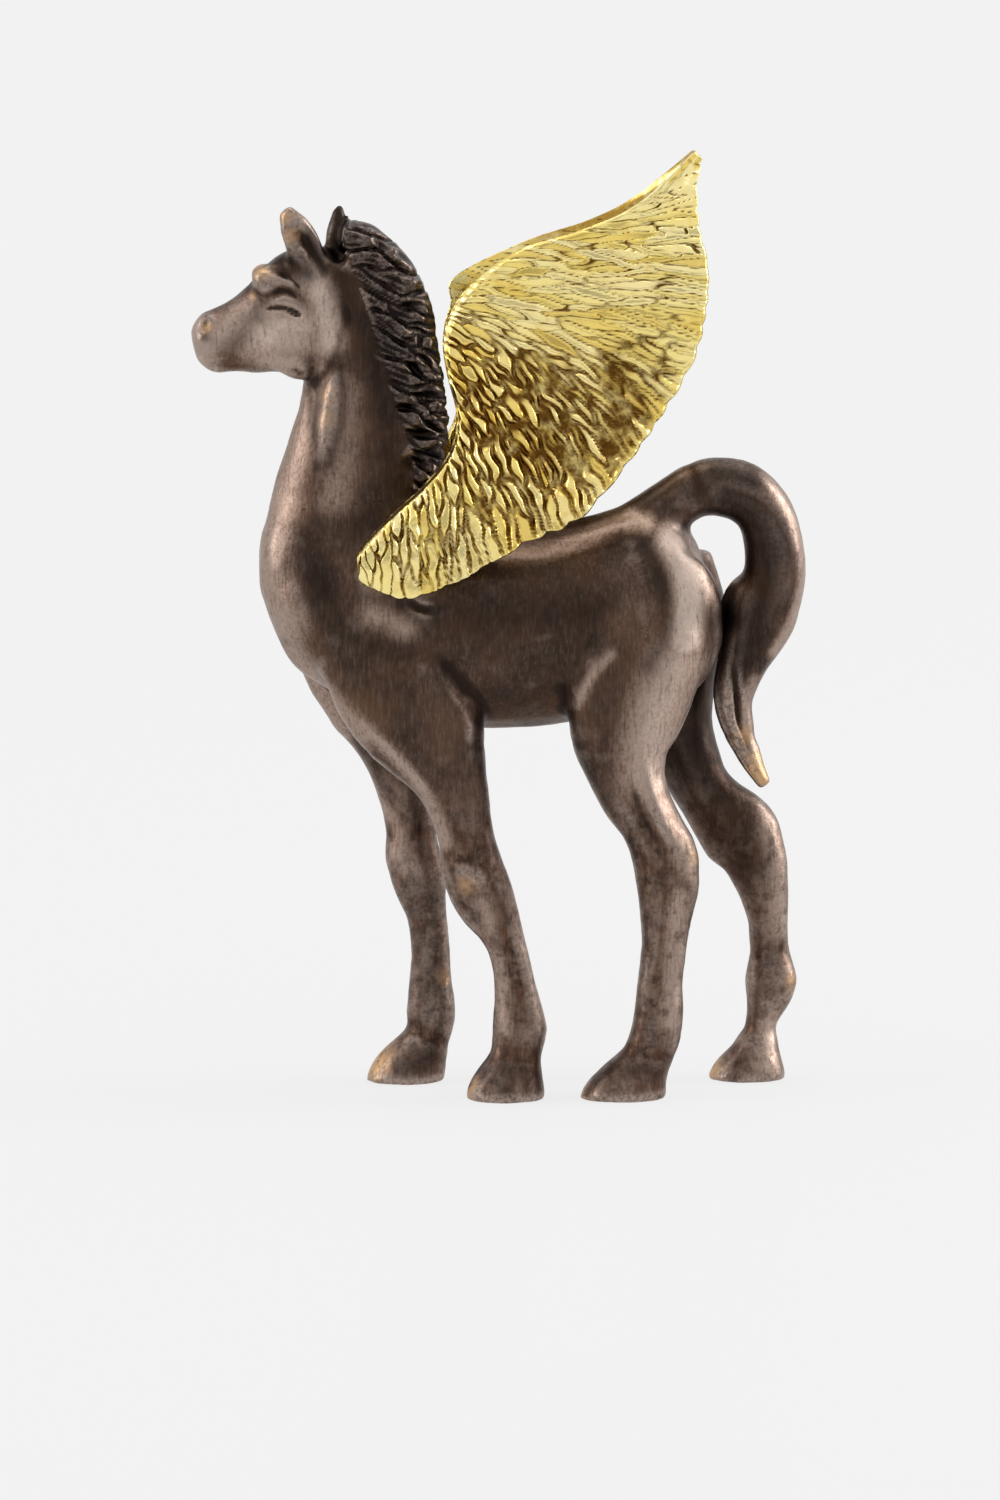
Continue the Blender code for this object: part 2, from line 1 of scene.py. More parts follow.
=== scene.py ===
"""Looks of the winged foal: chased and rubbed bronze castings, feathered gilt wings and brass pins.

Shapes are worked in millimetres, and meshes, lamps and the camera are made in metres.
The foal faces -X, its left side, which the camera sees, is -Y, and the hooves stand on z = 0.
A span in these values is a start and a reach from there, and a falling one has a negative reach.
"""

import json
import math
import random

import bmesh
import bpy
import numpy as np
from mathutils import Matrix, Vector, noise

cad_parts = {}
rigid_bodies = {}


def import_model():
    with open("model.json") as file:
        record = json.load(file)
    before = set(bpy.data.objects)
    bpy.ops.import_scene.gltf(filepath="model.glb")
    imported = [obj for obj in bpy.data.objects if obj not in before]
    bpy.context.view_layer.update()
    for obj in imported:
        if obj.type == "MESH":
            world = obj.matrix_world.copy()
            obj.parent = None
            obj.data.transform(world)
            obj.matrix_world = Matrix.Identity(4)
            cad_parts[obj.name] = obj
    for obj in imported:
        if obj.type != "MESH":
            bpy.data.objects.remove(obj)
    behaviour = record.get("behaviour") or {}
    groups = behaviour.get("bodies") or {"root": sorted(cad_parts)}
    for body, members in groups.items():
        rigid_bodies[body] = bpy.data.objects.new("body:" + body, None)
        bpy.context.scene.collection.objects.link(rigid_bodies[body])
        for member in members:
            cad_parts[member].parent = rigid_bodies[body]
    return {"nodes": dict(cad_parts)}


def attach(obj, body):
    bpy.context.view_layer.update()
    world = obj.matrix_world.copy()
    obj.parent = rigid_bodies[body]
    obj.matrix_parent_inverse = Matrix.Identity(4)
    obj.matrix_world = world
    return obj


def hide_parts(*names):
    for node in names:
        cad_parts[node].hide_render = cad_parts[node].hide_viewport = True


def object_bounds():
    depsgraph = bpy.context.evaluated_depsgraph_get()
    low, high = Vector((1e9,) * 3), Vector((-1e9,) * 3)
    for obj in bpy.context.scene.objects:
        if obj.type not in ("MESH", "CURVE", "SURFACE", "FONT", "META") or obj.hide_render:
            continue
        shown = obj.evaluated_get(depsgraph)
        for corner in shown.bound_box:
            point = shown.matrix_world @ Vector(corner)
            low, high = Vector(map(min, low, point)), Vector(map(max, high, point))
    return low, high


MM = 0.001
# The seed of the noise that makes outlines waver, which makes each run the same
NOISE_SEED = 4
LEFT, RIGHT = -1, 1
# Sides of the statuette: the one that the camera sees, the other one, and both
NEAR, FAR, BOTH = (LEFT,), (RIGHT,), (LEFT, RIGHT)
# Steps from one given point of a curve to the next where it is carved, and where it is painted
CARVE_STEPS = 6
PAINT_STEPS = 4

# The bronze castings, and the joints where they meet: a point, the normal, and how far the joint reaches
CASTINGS = (
    "trunk",
    "neck_and_head",
    "left_foreleg",
    "right_foreleg",
    "left_hind_leg",
    "right_hind_leg",
    "tail",
)
NECK_JOINT = ((-18.0, 0.0, 76.0), (-0.12, 0.0, 0.993), 40.0)
LEG_JOINT = ((0.0, 0.0, 45.5), (0.0, 0.0, 1.0), 60.0)
TAIL_JOINT = ((25.6, 0.0, 77.1), (0.93, 0.0, 0.37), 8.0)
JOINTS = (NECK_JOINT, LEG_JOINT, TAIL_JOINT)
# How far back the neck and the forelegs reach
NECK_REAR_X = 4.0
MID_LENGTH_X = 7.5
# How near to a joint a point lies on it, and how far it is then moved over the joint, into the neighbour
JOINT_REACH = 0.35
JOINT_OVERLAP = 0.6
WELD = 0.002

# How finely the skin is meshed, and the rounds of smoothing that take the castings' facets out of it
SKIN_VOXEL = 0.26
FORM_ROUNDS = 26
KEEP_ROUNDS = 60
# How far from a joint, and in how many rounds, the ledge at the joint is smoothed away
SEAM_REACH = 1.0
SEAM_ROUNDS = 60
# The same for the end of the right haunch, in front of the leg that is set back
FLANK = (9.4, 9.5, 49.0)
FLANK_REACH = 4.5
FLANK_ROUNDS = 220
# Unevenness of a surface worked by hand: height and scale
HAND_NOISE = [(0.12, 0.25), (0.03, 0.8)]
# Relief as wear and as hollows: the rounds of smoothing that it is measured against, the height that counts
# in full, and how much it adds to each
RELIEF_SCALES = [(5, 0.03, 0.6, 0.7), (40, 0.16, 0.8, 0.6)]
# Heights over which the finish of the body goes over into that of the legs
LEG_SPAN = (46.0, -18.0)

# The crest of the neck from the poll to the withers in the side view, x and z, and the mane's width there
CREST = [
    (-19.2, 111.6),
    (-16.2, 110.8),
    (-13.0, 108.2),
    (-10.4, 105.0),
    (-8.7, 101.0),
    (-7.7, 96.0),
    (-7.0, 90.0),
    (-6.6, 84.4),
    (-7.4, 79.0),
    (-9.0, 75.0),
]
MANE_WIDTHS = [4.0, 5.6, 6.8, 7.6, 7.9, 6.8, 6.2, 5.0, 3.8, 2.6]
# The share of the crest at which the mane starts, the heights over which it grows from the withers, and the
# shares of its width over which it ends
MANE_START = 0.001
MANE_FOOT = (74.0, 5.0)
MANE_EDGE = (1.12, -0.22)
# How much the distance from the mid plane counts in its width, and the rounds that soften its lower end
MANE_ROUND = 0.35
MANE_END_ROUNDS = 6
# Share of the relief that is left on the mid plane, and the distance from there at which it is full
CREST_RELIEF = (0.35, 2.2)
# Locks on each side: the seed of their random places, how many are tried, and how far apart they are
LOCK_SEEDS = {LEFT: 5, RIGHT: 6}
LOCK_TRIES = 1500
LOCK_SPACING = 1.45
# A lock's half length and half width, the spread of sizes, and its direction with its spread in degrees
LOCK_SIZE = (3.7, 1.25)
LOCK_SPREAD = (0.8, 1.25)
LOCK_DIRECTION = (-24.0, 14.0)
# Relief of the locks, how deep they lie, how much they slope and stand off, the gaps between them as a
# share of a lock, how open their ends are, and the size and scale at which their outlines waver
LOCK_DEPTH = 0.68
LOCK_SINK = 0.75
LOCK_SLOPE = 0.2
LOCK_LIFT = 0.3
LOCK_GAP = 0.36
LOCK_OPEN = 0.7
LOCK_WAVER = (0.8, 0.28)
HAIRS_PER_LOCK = 1.5
HAIR_DEPTH = 0.07
# Ends of locks along the lower crest: their spacing, the height of one of them, their slant, how far they
# stand out, half the width of their row, and the heights over which the row ends
LOCK_END_SPACING = 2.65
LOCK_END_Z = 91.2
LOCK_END_SLANT = 0.7
LOCK_END_REACH = 0.6
LOCK_END_BAND = 1.6
LOCK_END_TOP = (95.0, -3.0)
# Share of a leaf's half length over which its end opens, for locks and feathers alike
LEAF_END = (0.45, 0.5)
# How many half lengths a leaf reaches, and how far the nearest one counts to be where there is none
LEAF_REACH = 3
LEAF_NONE = 9.0

# The tail's middle line in the side view with its half depth: x, z, depth
TAIL_LINE = [
    (25.6, 77.1, 3.6),
    (30.0, 77.0, 3.9),
    (33.4, 74.4, 3.7),
    (35.0, 70.0, 3.8),
    (34.9, 65.2, 4.1),
    (33.3, 61.8, 5.0),
    (32.2, 58.8, 4.5),
    (30.8, 54.8, 3.2),
    (29.7, 50.2, 2.6),
    (30.5, 46.2, 2.0),
    (32.2, 42.2, 1.45),
    (34.0, 39.0, 0.8),
]
# Hairs round the tail, how far they twist, how they waver (size, rate along it and round it), and their
# relief
TAIL_HAIRS = 9
TAIL_TWIST = 2.2
TAIL_WAVER = (1.2, 9.0, 2.0)
TAIL_HAIR_DEPTH = 0.1
TAIL_HAIR_SINK = 0.6
# Shares of the tail's length over which its hairs start and part, and their relief before they part
TAIL_START = (0.0, 0.15)
TAIL_PARTING = (0.5, 0.3)
TAIL_UNPARTED = 0.3

# Tool strokes: half width, depth (a groove is negative), sides, and the path in the side view
STROKES = {
    "brow": (0.5, 0.28, BOTH, [(-29.4, 104.2), (-28.0, 104.4), (-26.6, 104.0), (-25.0, 103.0)]),
    "brow_crease": (0.4, -0.24, BOTH, [(-28.2, 105.0), (-26.8, 104.5), (-25.6, 103.6), (-24.6, 102.6)]),
    "lid_crease": (0.42, -0.26, BOTH, [(-29.0, 102.0), (-27.8, 102.8), (-26.6, 102.7), (-24.8, 101.5)]),
    "lid": (0.5, 0.28, BOTH, [(-29.0, 101.0), (-27.4, 101.7), (-26.0, 101.4), (-24.6, 100.4)]),
    "eye_slit": (
        0.32,
        -0.45,
        BOTH,
        [(-29.8, 100.2), (-28.2, 100.7), (-26.8, 100.5), (-25.0, 99.7), (-24.4, 99.2)],
    ),
    "eye_corner": (0.36, -0.32, BOTH, [(-27.0, 100.5), (-25.8, 100.0), (-24.6, 99.5)]),
    "nose_side": (1.6, -0.16, BOTH, [(-32.4, 101.0), (-31.8, 98.0), (-32.4, 94.6)]),
    "nostril_rim": (0.6, 0.16, BOTH, [(-38.2, 97.6), (-37.2, 99.3), (-36.0, 99.0), (-35.6, 97.6)]),
    "nostril": (0.6, -0.3, BOTH, [(-37.8, 97.2), (-37.0, 98.3), (-36.2, 98.8)]),
    "mouth": (0.4, -0.1, BOTH, [(-40.4, 93.6), (-37.4, 94.2), (-35.4, 94.6), (-33.0, 95.4)]),
    "jaw_spot": (0.5, -0.2, BOTH, [(-26.4, 93.2), (-25.4, 92.4), (-24.4, 91.6)]),
    "throat_front": (0.8, -0.2, BOTH, [(-23.2, 94.6), (-23.4, 91.4), (-23.6, 87.0), (-23.3, 80.4)]),
    "throat_cord": (0.8, 0.08, BOTH, [(-22.2, 97.0), (-22.1, 91.4), (-22.5, 86.0), (-22.9, 80.0)]),
    "throat_rear": (0.8, -0.24, BOTH, [(-20.6, 95.6), (-19.8, 91.6), (-19.8, 87.0), (-21.4, 81.4)]),
    "neck_hollow": (1.4, -0.35, BOTH, [(-21.0, 105.4), (-19.8, 101.6), (-18.0, 97.0), (-16.6, 91.0)]),
    "first_strand": (0.4, 0.35, BOTH, [(-17.8, 105.0), (-17.0, 102.4), (-16.0, 99.4), (-14.0, 94.6)]),
    "left_ear_hollow": (1.15, -1.1, NEAR, [(-21.8, 104.6), (-23.3, 107.4), (-24.5, 109.4), (-25.6, 111.4)]),
    "left_ear_front": (0.6, 0.2, NEAR, [(-25.6, 106.6), (-26.6, 109.6), (-27.2, 112.4)]),
    "left_ear_rim": (0.35, 0.3, NEAR, [(-21.6, 106.2), (-22.6, 108.8), (-24.6, 111.6)]),
    "right_ear_hollow": (0.7, -0.6, FAR, [(-20.2, 106.4), (-20.2, 109.4), (-20.2, 112.0)]),
    "shoulder_hollow": (2.4, -0.5, BOTH, [(-17.6, 60.2), (-13.2, 58.2), (-9.0, 56.4)]),
    "arm_fold": (0.5, -0.4, BOTH, [(-12.0, 64.4), (-10.2, 63.2), (-8.0, 62.8)]),
    "elbow_groove": (1.8, -0.4, NEAR, [(-9.6, 59.6), (-6.6, 55.4), (-3.6, 51.4), (-2.0, 48.0)]),
    "elbow_ridge": (0.9, 0.18, NEAR, [(-8.4, 55.4), (-5.6, 51.8), (-4.2, 48.6), (-3.4, 42.0)]),
    "elbow_web": (0.8, 0.22, NEAR, [(-5.0, 52.4), (-2.8, 50.2), (-1.2, 47.6)]),
    "stifle_ridge": (1.3, 0.22, NEAR, [(6.8, 58.0), (8.8, 54.0), (9.8, 49.4)]),
    "stifle_fold": (2.0, 0.2, NEAR, [(8.6, 54.8), (12.0, 56.8), (16.0, 59.4)]),
    "stifle_hollow": (2.2, -0.5, NEAR, [(4.8, 59.6), (6.4, 54.4), (7.6, 49.0)]),
    "haunch_hollow": (
        2.2,
        -0.8,
        BOTH,
        [(16.4, 73.4), (19.6, 69.0), (20.8, 64.4), (21.0, 59.6), (18.6, 55.0)],
    ),
    "rump_ridge": (2.0, 0.35, BOTH, [(20.6, 72.6), (23.2, 66.0), (22.8, 60.6), (21.0, 55.4), (18.4, 46.0)]),
    "fore_edge": (0.7, 0.3, NEAR, [(-19.4, 50.4), (-13.6, 44.8), (-9.6, 40.0), (-7.6, 33.0)]),
    "fore_tendon": (1.0, -0.2, NEAR, [(-0.6, 25.0), (1.2, 18.4), (2.1, 13.4), (2.8, 7.6)]),
    "fore_sinew": (0.9, 0.16, NEAR, [(1.6, 23.6), (3.6, 16.2), (5.0, 8.8)]),
    "fore_knee": (1.2, 0.3, NEAR, [(-6.4, 30.0), (-4.0, 29.4), (-1.4, 27.6)]),
    "hind_tendon": (1.0, -0.22, NEAR, [(21.4, 25.4), (20.7, 19.0), (19.7, 14.4), (19.4, 9.0)]),
    "hind_sinew": (0.9, 0.16, NEAR, [(23.4, 24.4), (22.4, 17.0), (21.4, 10.4)]),
    "hind_shank": (1.0, 0.35, NEAR, [(16.6, 49.4), (18.6, 40.0), (21.2, 33.8), (24.4, 29.4)]),
    "hind_shank_hollow": (1.2, -0.4, NEAR, [(15.2, 44.0), (18.2, 36.0), (21.4, 30.8)]),
    "far_fore_knee": (1.2, 0.3, FAR, [(-13.6, 30.4), (-10.8, 29.8), (-8.0, 28.6)]),
    "far_fore_tendon": (0.9, -0.24, FAR, [(-9.6, 24.6), (-8.4, 18.0), (-7.9, 12.6), (-7.4, 7.4)]),
    "far_hind_tendon": (0.9, -0.24, FAR, [(34.6, 24.6), (35.0, 18.0), (34.9, 13.6), (34.0, 8.4)]),
    "tail_split": (0.5, -0.6, BOTH, [(29.6, 56.0), (30.2, 51.2), (30.8, 47.0), (32.2, 42.6)]),
}
# How far a face has to look to a stroke's side, the share of a stroke over which it fades in, and out again,
# and how many half widths it reaches
STROKE_FACING = (0.12, 0.3)
STROKE_TAPER = 0.4
STROKE_REACH = 3

# Coronets: the middle of a hoof, the height of its upper edge there, and the slope of that edge backwards
CORONETS = [
    ((1.6, -7.0), 5.9, -0.12),
    ((-9.2, 7.0), 6.0, -0.5),
    ((18.4, -7.0), 5.9, -0.25),
    ((33.5, 7.0), 6.1, -0.1),
]
# The lip and the groove of a coronet: how far each stands out, and its height over the edge
CORONET_RINGS = [(0.05, -0.8), (-0.03, 0.5)]
# Their half width, and the distances from the middle of the hoof over which they end
CORONET_WIDTH = 0.9
CORONET_SPAN = (7.0, -1.0)

# Where the bronze is painted pale: partly patina rubbed pale, and partly painted highlights on edges
# that face the lamps. Half width, strength, sides, and the path in the side view
RUBS_AND_HIGHLIGHTS = {
    "cheek": (3.4, 1.1, BOTH, [(-30.2, 97.2), (-25.8, 98.0)]),
    "jaw": (1.8, 0.7, BOTH, [(-29.6, 94.2), (-26.2, 93.8)]),
    "lid": (0.8, 0.6, BOTH, [(-28.4, 101.4), (-25.4, 101.0)]),
    "brow": (0.6, 0.6, BOTH, [(-28.8, 104.2), (-25.8, 103.8)]),
    "ear_rim": (0.5, 1.2, BOTH, [(-21.9, 106.4), (-23.0, 108.8), (-24.8, 111.2)]),
    "muzzle": (1.5, 1.1, BOTH, [(-38.6, 98.6), (-39.4, 95.6), (-37.8, 93.6)]),
    "temple": (1.9, 1.2, BOTH, [(-23.4, 104.4), (-22.0, 101.0), (-21.4, 96.4)]),
    "nose": (2.4, 0.8, BOTH, [(-37.2, 95.6), (-34.4, 97.4), (-31.6, 99.4)]),
    "throat": (1.2, 0.35, BOTH, [(-22.4, 95.0), (-22.8, 88.0), (-23.0, 82.0)]),
    "neck_front": (2.8, 0.45, BOTH, [(-24.8, 90.0), (-25.4, 84.0), (-27.2, 77.6)]),
    "neck_side": (2.8, 0.4, BOTH, [(-19.6, 90.0), (-19.8, 84.0), (-20.8, 77.0)]),
    "chest": (3.4, 0.55, BOTH, [(-28.0, 76.4), (-29.6, 69.0), (-27.4, 60.4)]),
    "breast": (2.0, 0.5, NEAR, [(-26.0, 57.0), (-21.4, 51.0), (-17.0, 47.0)]),
    "shoulder": (2.0, 0.45, BOTH, [(-16.4, 62.6), (-12.2, 60.4)]),
    "haunch": (2.0, 0.16, BOTH, [(16.0, 68.4), (16.6, 64.0), (15.0, 61.0)]),
    "stifle": (0.8, 0.55, NEAR, [(9.6, 50.6), (11.6, 54.8), (13.8, 57.2)]),
    "back": (1.1, 0.6, BOTH, [(0.2, 69.4), (5.6, 69.6), (10.6, 71.2), (15.4, 73.6)]),
    "hip": (1.3, 0.9, BOTH, [(16.4, 73.6), (18.4, 73.4)]),
    "rump": (1.9, 1.9, BOTH, [(22.0, 71.0), (23.6, 67.4), (23.9, 63.0), (23.2, 59.0)]),
    "thigh": (3.8, 0.9, NEAR, [(21.8, 55.6), (19.4, 48.0), (19.0, 42.0)]),
    "shank": (2.0, 0.5, NEAR, [(20.2, 38.0), (22.6, 33.6), (23.6, 30.0)]),
    "hind_cannon": (1.5, 0.6, NEAR, [(22.6, 26.0), (21.8, 18.0), (21.6, 10.0)]),
    "arm": (2.6, 0.14, NEAR, [(-9.0, 52.0), (-6.4, 45.0), (-5.0, 38.0)]),
    "fore_front": (1.1, 0.55, NEAR, [(-17.6, 48.4), (-12.2, 43.0), (-8.6, 38.0), (-7.0, 33.0)]),
    "fore_cannon": (1.1, 0.45, NEAR, [(-2.4, 27.0), (-0.8, 20.0), (0.4, 13.0), (0.6, 9.0)]),
    "fore_heel": (1.0, 0.4, NEAR, [(1.8, 27.0), (4.2, 17.0), (5.4, 9.0)]),
    "far_knee": (1.6, 0.5, FAR, [(-12.8, 30.0), (-9.6, 27.6)]),
    "far_breast": (2.0, 0.5, FAR, [(-26.0, 57.0), (-22.6, 51.0), (-20.2, 46.0)]),
    "far_fore_front": (1.0, 0.5, FAR, [(-19.6, 44.8), (-16.6, 38.7), (-12.6, 33.0), (-11.6, 27.4)]),
    "far_hock": (1.6, 0.6, FAR, [(34.4, 33.4), (35.6, 28.6), (36.4, 20.0)]),
    "far_hoof": (1.7, 0.8, FAR, [(35.2, 7.4), (34.6, 2.4)]),
    "tail_edge": (0.9, 0.7, BOTH, [(33.8, 79.2), (37.6, 73.4), (38.9, 67.0), (37.6, 61.0), (35.0, 56.4)]),
    "tail_end": (0.8, 0.5, BOTH, [(32.4, 53.0), (31.6, 47.4), (33.4, 42.0)]),
}

# Painted shade, mostly where shade falls: in hollows, under the wing, on the far legs, at the ears, hooves
# and tail, and partly darker patina. Half width, strength, sides, and the path in the side view
PAINTED_SHADES = {
    "left_ear": (1.3, 1.2, NEAR, [(-22.0, 105.4), (-23.0, 107.4), (-24.2, 109.6)]),
    "right_ear": (2.0, 1.2, FAR, [(-20.2, 107.6), (-20.2, 112.6)]),
    "neck": (
        2.0,
        0.85,
        BOTH,
        [(-20.6, 106.0), (-18.6, 101.4), (-16.2, 96.4), (-15.0, 91.0), (-14.0, 86.0)],
    ),
    "forehead": (1.6, 1.0, BOTH, [(-27.6, 106.8), (-25.8, 106.2), (-24.0, 104.8)]),
    "nose_bridge": (0.8, 0.5, BOTH, [(-31.6, 103.4), (-34.6, 100.8), (-36.6, 99.6)]),
    "eye": (0.7, 0.6, BOTH, [(-28.6, 102.4), (-26.8, 102.8), (-24.8, 101.6)]),
    "eye_front": (1.0, 0.6, BOTH, [(-31.2, 101.4), (-30.4, 99.2)]),
    "nostril": (0.6, 0.8, BOTH, [(-37.1, 97.0), (-36.7, 98.6)]),
    "muzzle": (1.3, 0.5, BOTH, [(-34.4, 95.0), (-32.4, 97.0), (-31.0, 100.0)]),
    "throat_front": (0.7, 0.8, BOTH, [(-23.8, 94.0), (-23.7, 88.0), (-23.2, 80.6)]),
    "throat_rear": (0.7, 0.7, BOTH, [(-20.4, 95.0), (-19.7, 89.6), (-20.0, 85.6), (-21.6, 81.0)]),
    "chest": (2.0, 0.7, BOTH, [(-24.2, 72.0), (-23.2, 67.4), (-21.4, 62.6)]),
    "withers": (2.6, 0.7, BOTH, [(-14.0, 84.0), (-13.6, 78.0), (-17.0, 73.0)]),
    "shoulder": (1.7, 0.6, BOTH, [(-16.0, 58.6), (-11.6, 57.4)]),
    "arm": (1.0, 0.7, BOTH, [(-12.6, 63.6), (-9.4, 62.8), (-6.4, 63.4)]),
    "flank": (4.0, 0.7, BOTH, [(-5.0, 62.4), (3.0, 63.4), (10.4, 62.6)]),
    "belly": (2.0, 0.6, BOTH, [(-1.0, 52.0), (4.0, 51.4), (8.0, 54.6)]),
    "haunch": (1.4, 0.75, BOTH, [(17.6, 71.6), (19.8, 68.0), (20.9, 64.4), (21.0, 60.0), (18.6, 56.0)]),
    "far_thigh": (5.0, 1.0, FAR, [(24.0, 52.0), (25.0, 42.0)]),
    "far_gaskin": (3.2, 0.8, FAR, [(26.0, 41.0), (29.6, 35.0), (32.0, 28.0)]),
    "far_fore": (1.8, 0.4, FAR, [(-10.4, 26.0), (-9.2, 18.0), (-8.6, 12.0)]),
    "tail_top": (1.8, 0.85, BOTH, [(24.4, 77.2), (28.4, 79.6), (32.0, 78.4)]),
    "near_fore_hoof": (1.5, 0.65, NEAR, [(-2.6, 3.4), (0.6, 4.6), (4.2, 3.4)]),
    "near_hind_hoof": (1.5, 0.65, NEAR, [(12.6, 3.2), (16.4, 4.6), (19.6, 4.0)]),
    "far_fore_hoof": (1.5, 0.65, FAR, [(-11.4, 2.6), (-8.0, 3.6)]),
    "tail_root": (2.4, 1.1, BOTH, [(27.6, 61.6), (29.4, 60.4)]),
    "tail": (2.2, 0.85, BOTH, [(29.0, 76.4), (32.8, 73.2), (34.0, 67.0), (32.6, 60.4), (30.6, 54.6)]),
}

# Gold spots, partly worn bronze and partly painted glints of light: centre, radius and strength
GLINTS = [
    ((-29.8, -2.6, 105.0), 1.5, 1.0),
    ((-29.8, 2.6, 105.0), 1.5, 1.0),
    ((-30.9, -2.4, 102.2), 1.1, 0.35),
    ((-27.0, -3.8, 112.2), 1.3, 0.55),
    ((-26.2, -4.2, 109.8), 1.3, 0.55),
    ((-37.0, -2.6, 98.2), 0.9, 0.8),
    ((-37.0, 2.6, 98.2), 0.9, 0.8),
    ((-21.9, -5.0, 89.6), 1.8, 0.4),
    ((-22.1, -5.0, 86.6), 1.8, 0.4),
    ((33.2, -0.8, 41.0), 2.6, 1.0),
    ((31.0, -1.6, 45.6), 1.6, 0.6),
    ((-3.6, -7.4, 1.4), 2.0, 0.8),
    ((-15.6, 6.6, 2.6), 3.0, 1.0),
    ((10.4, -7.4, 1.0), 2.0, 0.6),
    ((27.4, 6.6, 1.4), 2.2, 0.8),
    ((-4.2, -9.4, 28.0), 1.6, 0.5),
    ((24.6, -7.4, 31.0), 1.9, 0.5),
    ((37.6, 6.0, 12.6), 1.6, 0.6),
    ((6.2, -7.0, 11.0), 1.6, 0.4),
    ((-6.6, 5.0, 13.6), 1.4, 0.5),
]

# Wing stations, root to tip: leading edge x, z, trailing edge x, z, how far each is from the mid plane,
# and how far the right wing's leading edge lies behind the left one's
WING = [
    (-18.2, 70.4, -17.9, 66.9, 10.9, 10.9, 0.0),
    (-16.4, 72.6, -15.2, 65.6, 10.9, 10.9, 0.0),
    (-13.2, 75.8, -11.4, 64.7, 10.9, 10.9, 0.0),
    (-9.5, 79.2, -4.4, 67.3, 10.4, 11.0, 0.0),
    (-6.6, 82.8, 3.0, 71.6, 9.4, 11.0, 0.3),
    (-5.5, 87.2, 10.0, 74.8, 8.4, 10.6, 0.6),
    (-6.7, 92.6, 15.6, 81.0, 7.4, 9.8, 0.6),
    (-7.2, 96.8, 20.6, 88.0, 6.9, 8.8, 0.6),
    (-6.4, 100.0, 24.4, 94.6, 6.7, 8.1, 0.6),
    (-4.0, 103.5, 26.0, 101.0, 6.6, 7.2, -1.2),
    (2.0, 108.0, 26.2, 106.0, 6.6, 6.4, 1.8),
    (10.2, 110.6, 25.2, 110.6, 6.2, 5.4, 1.4),
    (17.4, 113.8, 24.9, 115.2, 5.0, 4.0, 0.2),
    (24.6, 120.0, 25.6, 119.2, 2.0, 2.1, 0.2),
]
WING_ROOT_THICKNESS = 4.4
WING_EDGE_THICKNESS = 2.8
WING_TIP_THICKNESS = 1.0
WING_LEAST_THICKNESS = 0.5
WING_TRAILING_SHARE = 0.35
WING_NOSE_SHARE = 0.22
WING_ARM_END = 0.42
WING_ARM_RISE = 1.6
WING_ARM_FULLNESS = 2
WING_TIP_START = 0.55
WING_SEAT_Y = 8.5
WING_CUP = 1.1
WING_CUP_RISE = 2
WING_SECTIONS = 380
WING_ROWS = 160
# The outer and the inner face, each with the seed of its feathers, and the least height of a face
WING_FACES = {1: 11, -1: 23}
WING_LEAST_HEIGHT = 0.12
# Shares of the width over which the faces part at the leading and at the trailing edge
WING_EDGES = (0.03, 0.012)
# Feather ends along the trailing edge, how far they stand out, and how quickly they do so from the root on
QUILLS = 27
QUILL_REACH = 0.55
QUILL_RISE = 4
# Waves in their spacing and in their sizes (size and rate), and how much they shrink towards the tip
QUILL_WAVES = [(0.3, 11), (0.25, 37)]
QUILL_SIZES = (0.25, 23)
QUILL_SHRINK = 0.5
QUILL_TIP = (0.5, 0.2)

# Feathers from the root to the tip: share of the wing's length, half length, half width, turn from the
# line across the wing in degrees, relief, width of the gaps as a share of a feather, how open its ends
# are, how far its outline wavers, and how amber its gilding is
PLUMAGE = [
    (0.0, 1.8, 0.56, 0.0, 0.8, 0.2, 0.6, 0.35, 0.0),
    (0.15, 2.2, 0.6, -8.0, 1.0, 0.3, 0.5, 0.4, 0.25),
    (0.3, 2.3, 0.64, -16.0, 1.15, 0.46, 0.35, 0.45, 0.7),
    (0.42, 2.2, 0.66, -28.0, 1.2, 0.58, 0.25, 0.5, 0.9),
    (0.52, 2.2, 0.64, -28.0, 1.05, 0.56, 0.3, 0.45, 0.85),
    (0.58, 2.6, 0.56, -14.0, 0.65, 0.36, 0.55, 0.3, 0.35),
    (0.66, 3.2, 0.5, -2.0, 0.5, 0.2, 0.8, 0.18, 0.0),
    (0.85, 4.4, 0.46, 0.0, 0.42, 0.17, 0.85, 0.15, 0.0),
    (1.0, 3.4, 0.5, 0.0, 0.2, 0.14, 0.9, 0.15, 0.0),
]
FEATHER_TURN = 14.0
FEATHER_SPREAD = (0.85, 1.25)
FEATHER_SPACING = 1.45
FEATHER_TRIES = 9000
# How much longer feathers are at the trailing edge and on its lower half, the span of that half across the
# wing, and the span along the wing over which it ends
FEATHER_STRETCH = (0.3, 0.7)
LOWER_ACROSS = (0.6, 0.2)
LOWER_END = (0.5, 0.1)
# A feather's level as a share of its relief, how much that varies, how much the feather slopes along it and
# across, how much the first slope varies, where slopes end, and how quickly the feather's outline wavers
FEATHER_LEVEL = 0.72
FEATHER_LIFT = 0.1
FEATHER_SLOPES = (0.22, 0.34)
FEATHER_SLOPE_SPREAD = 0.7
FEATHER_SLOPE_END = 1.2
FEATHER_WAVER = 0.55
# The share of the relief below the plain face, how much gaps vary, and where the trailing edge ends them
FEATHER_SINK = 0.55
GAP_SPREAD = 0.4
GAP_END = (1.0, -0.05)
# Spots in the side view where gaps are wide and dark and feathers high: centre and radius, and how much so
RUFFLES = [
    ((15.8, 93.2), 3.4),
    ((6.2, 92.0), 2.8),
    ((14.6, 86.0), 3.0),
    ((1.6, 84.4), 2.8),
    ((6.6, 83.6), 2.4),
]
RUFFLE_GAP = 1.6
RUFFLE_RISE = 0.25
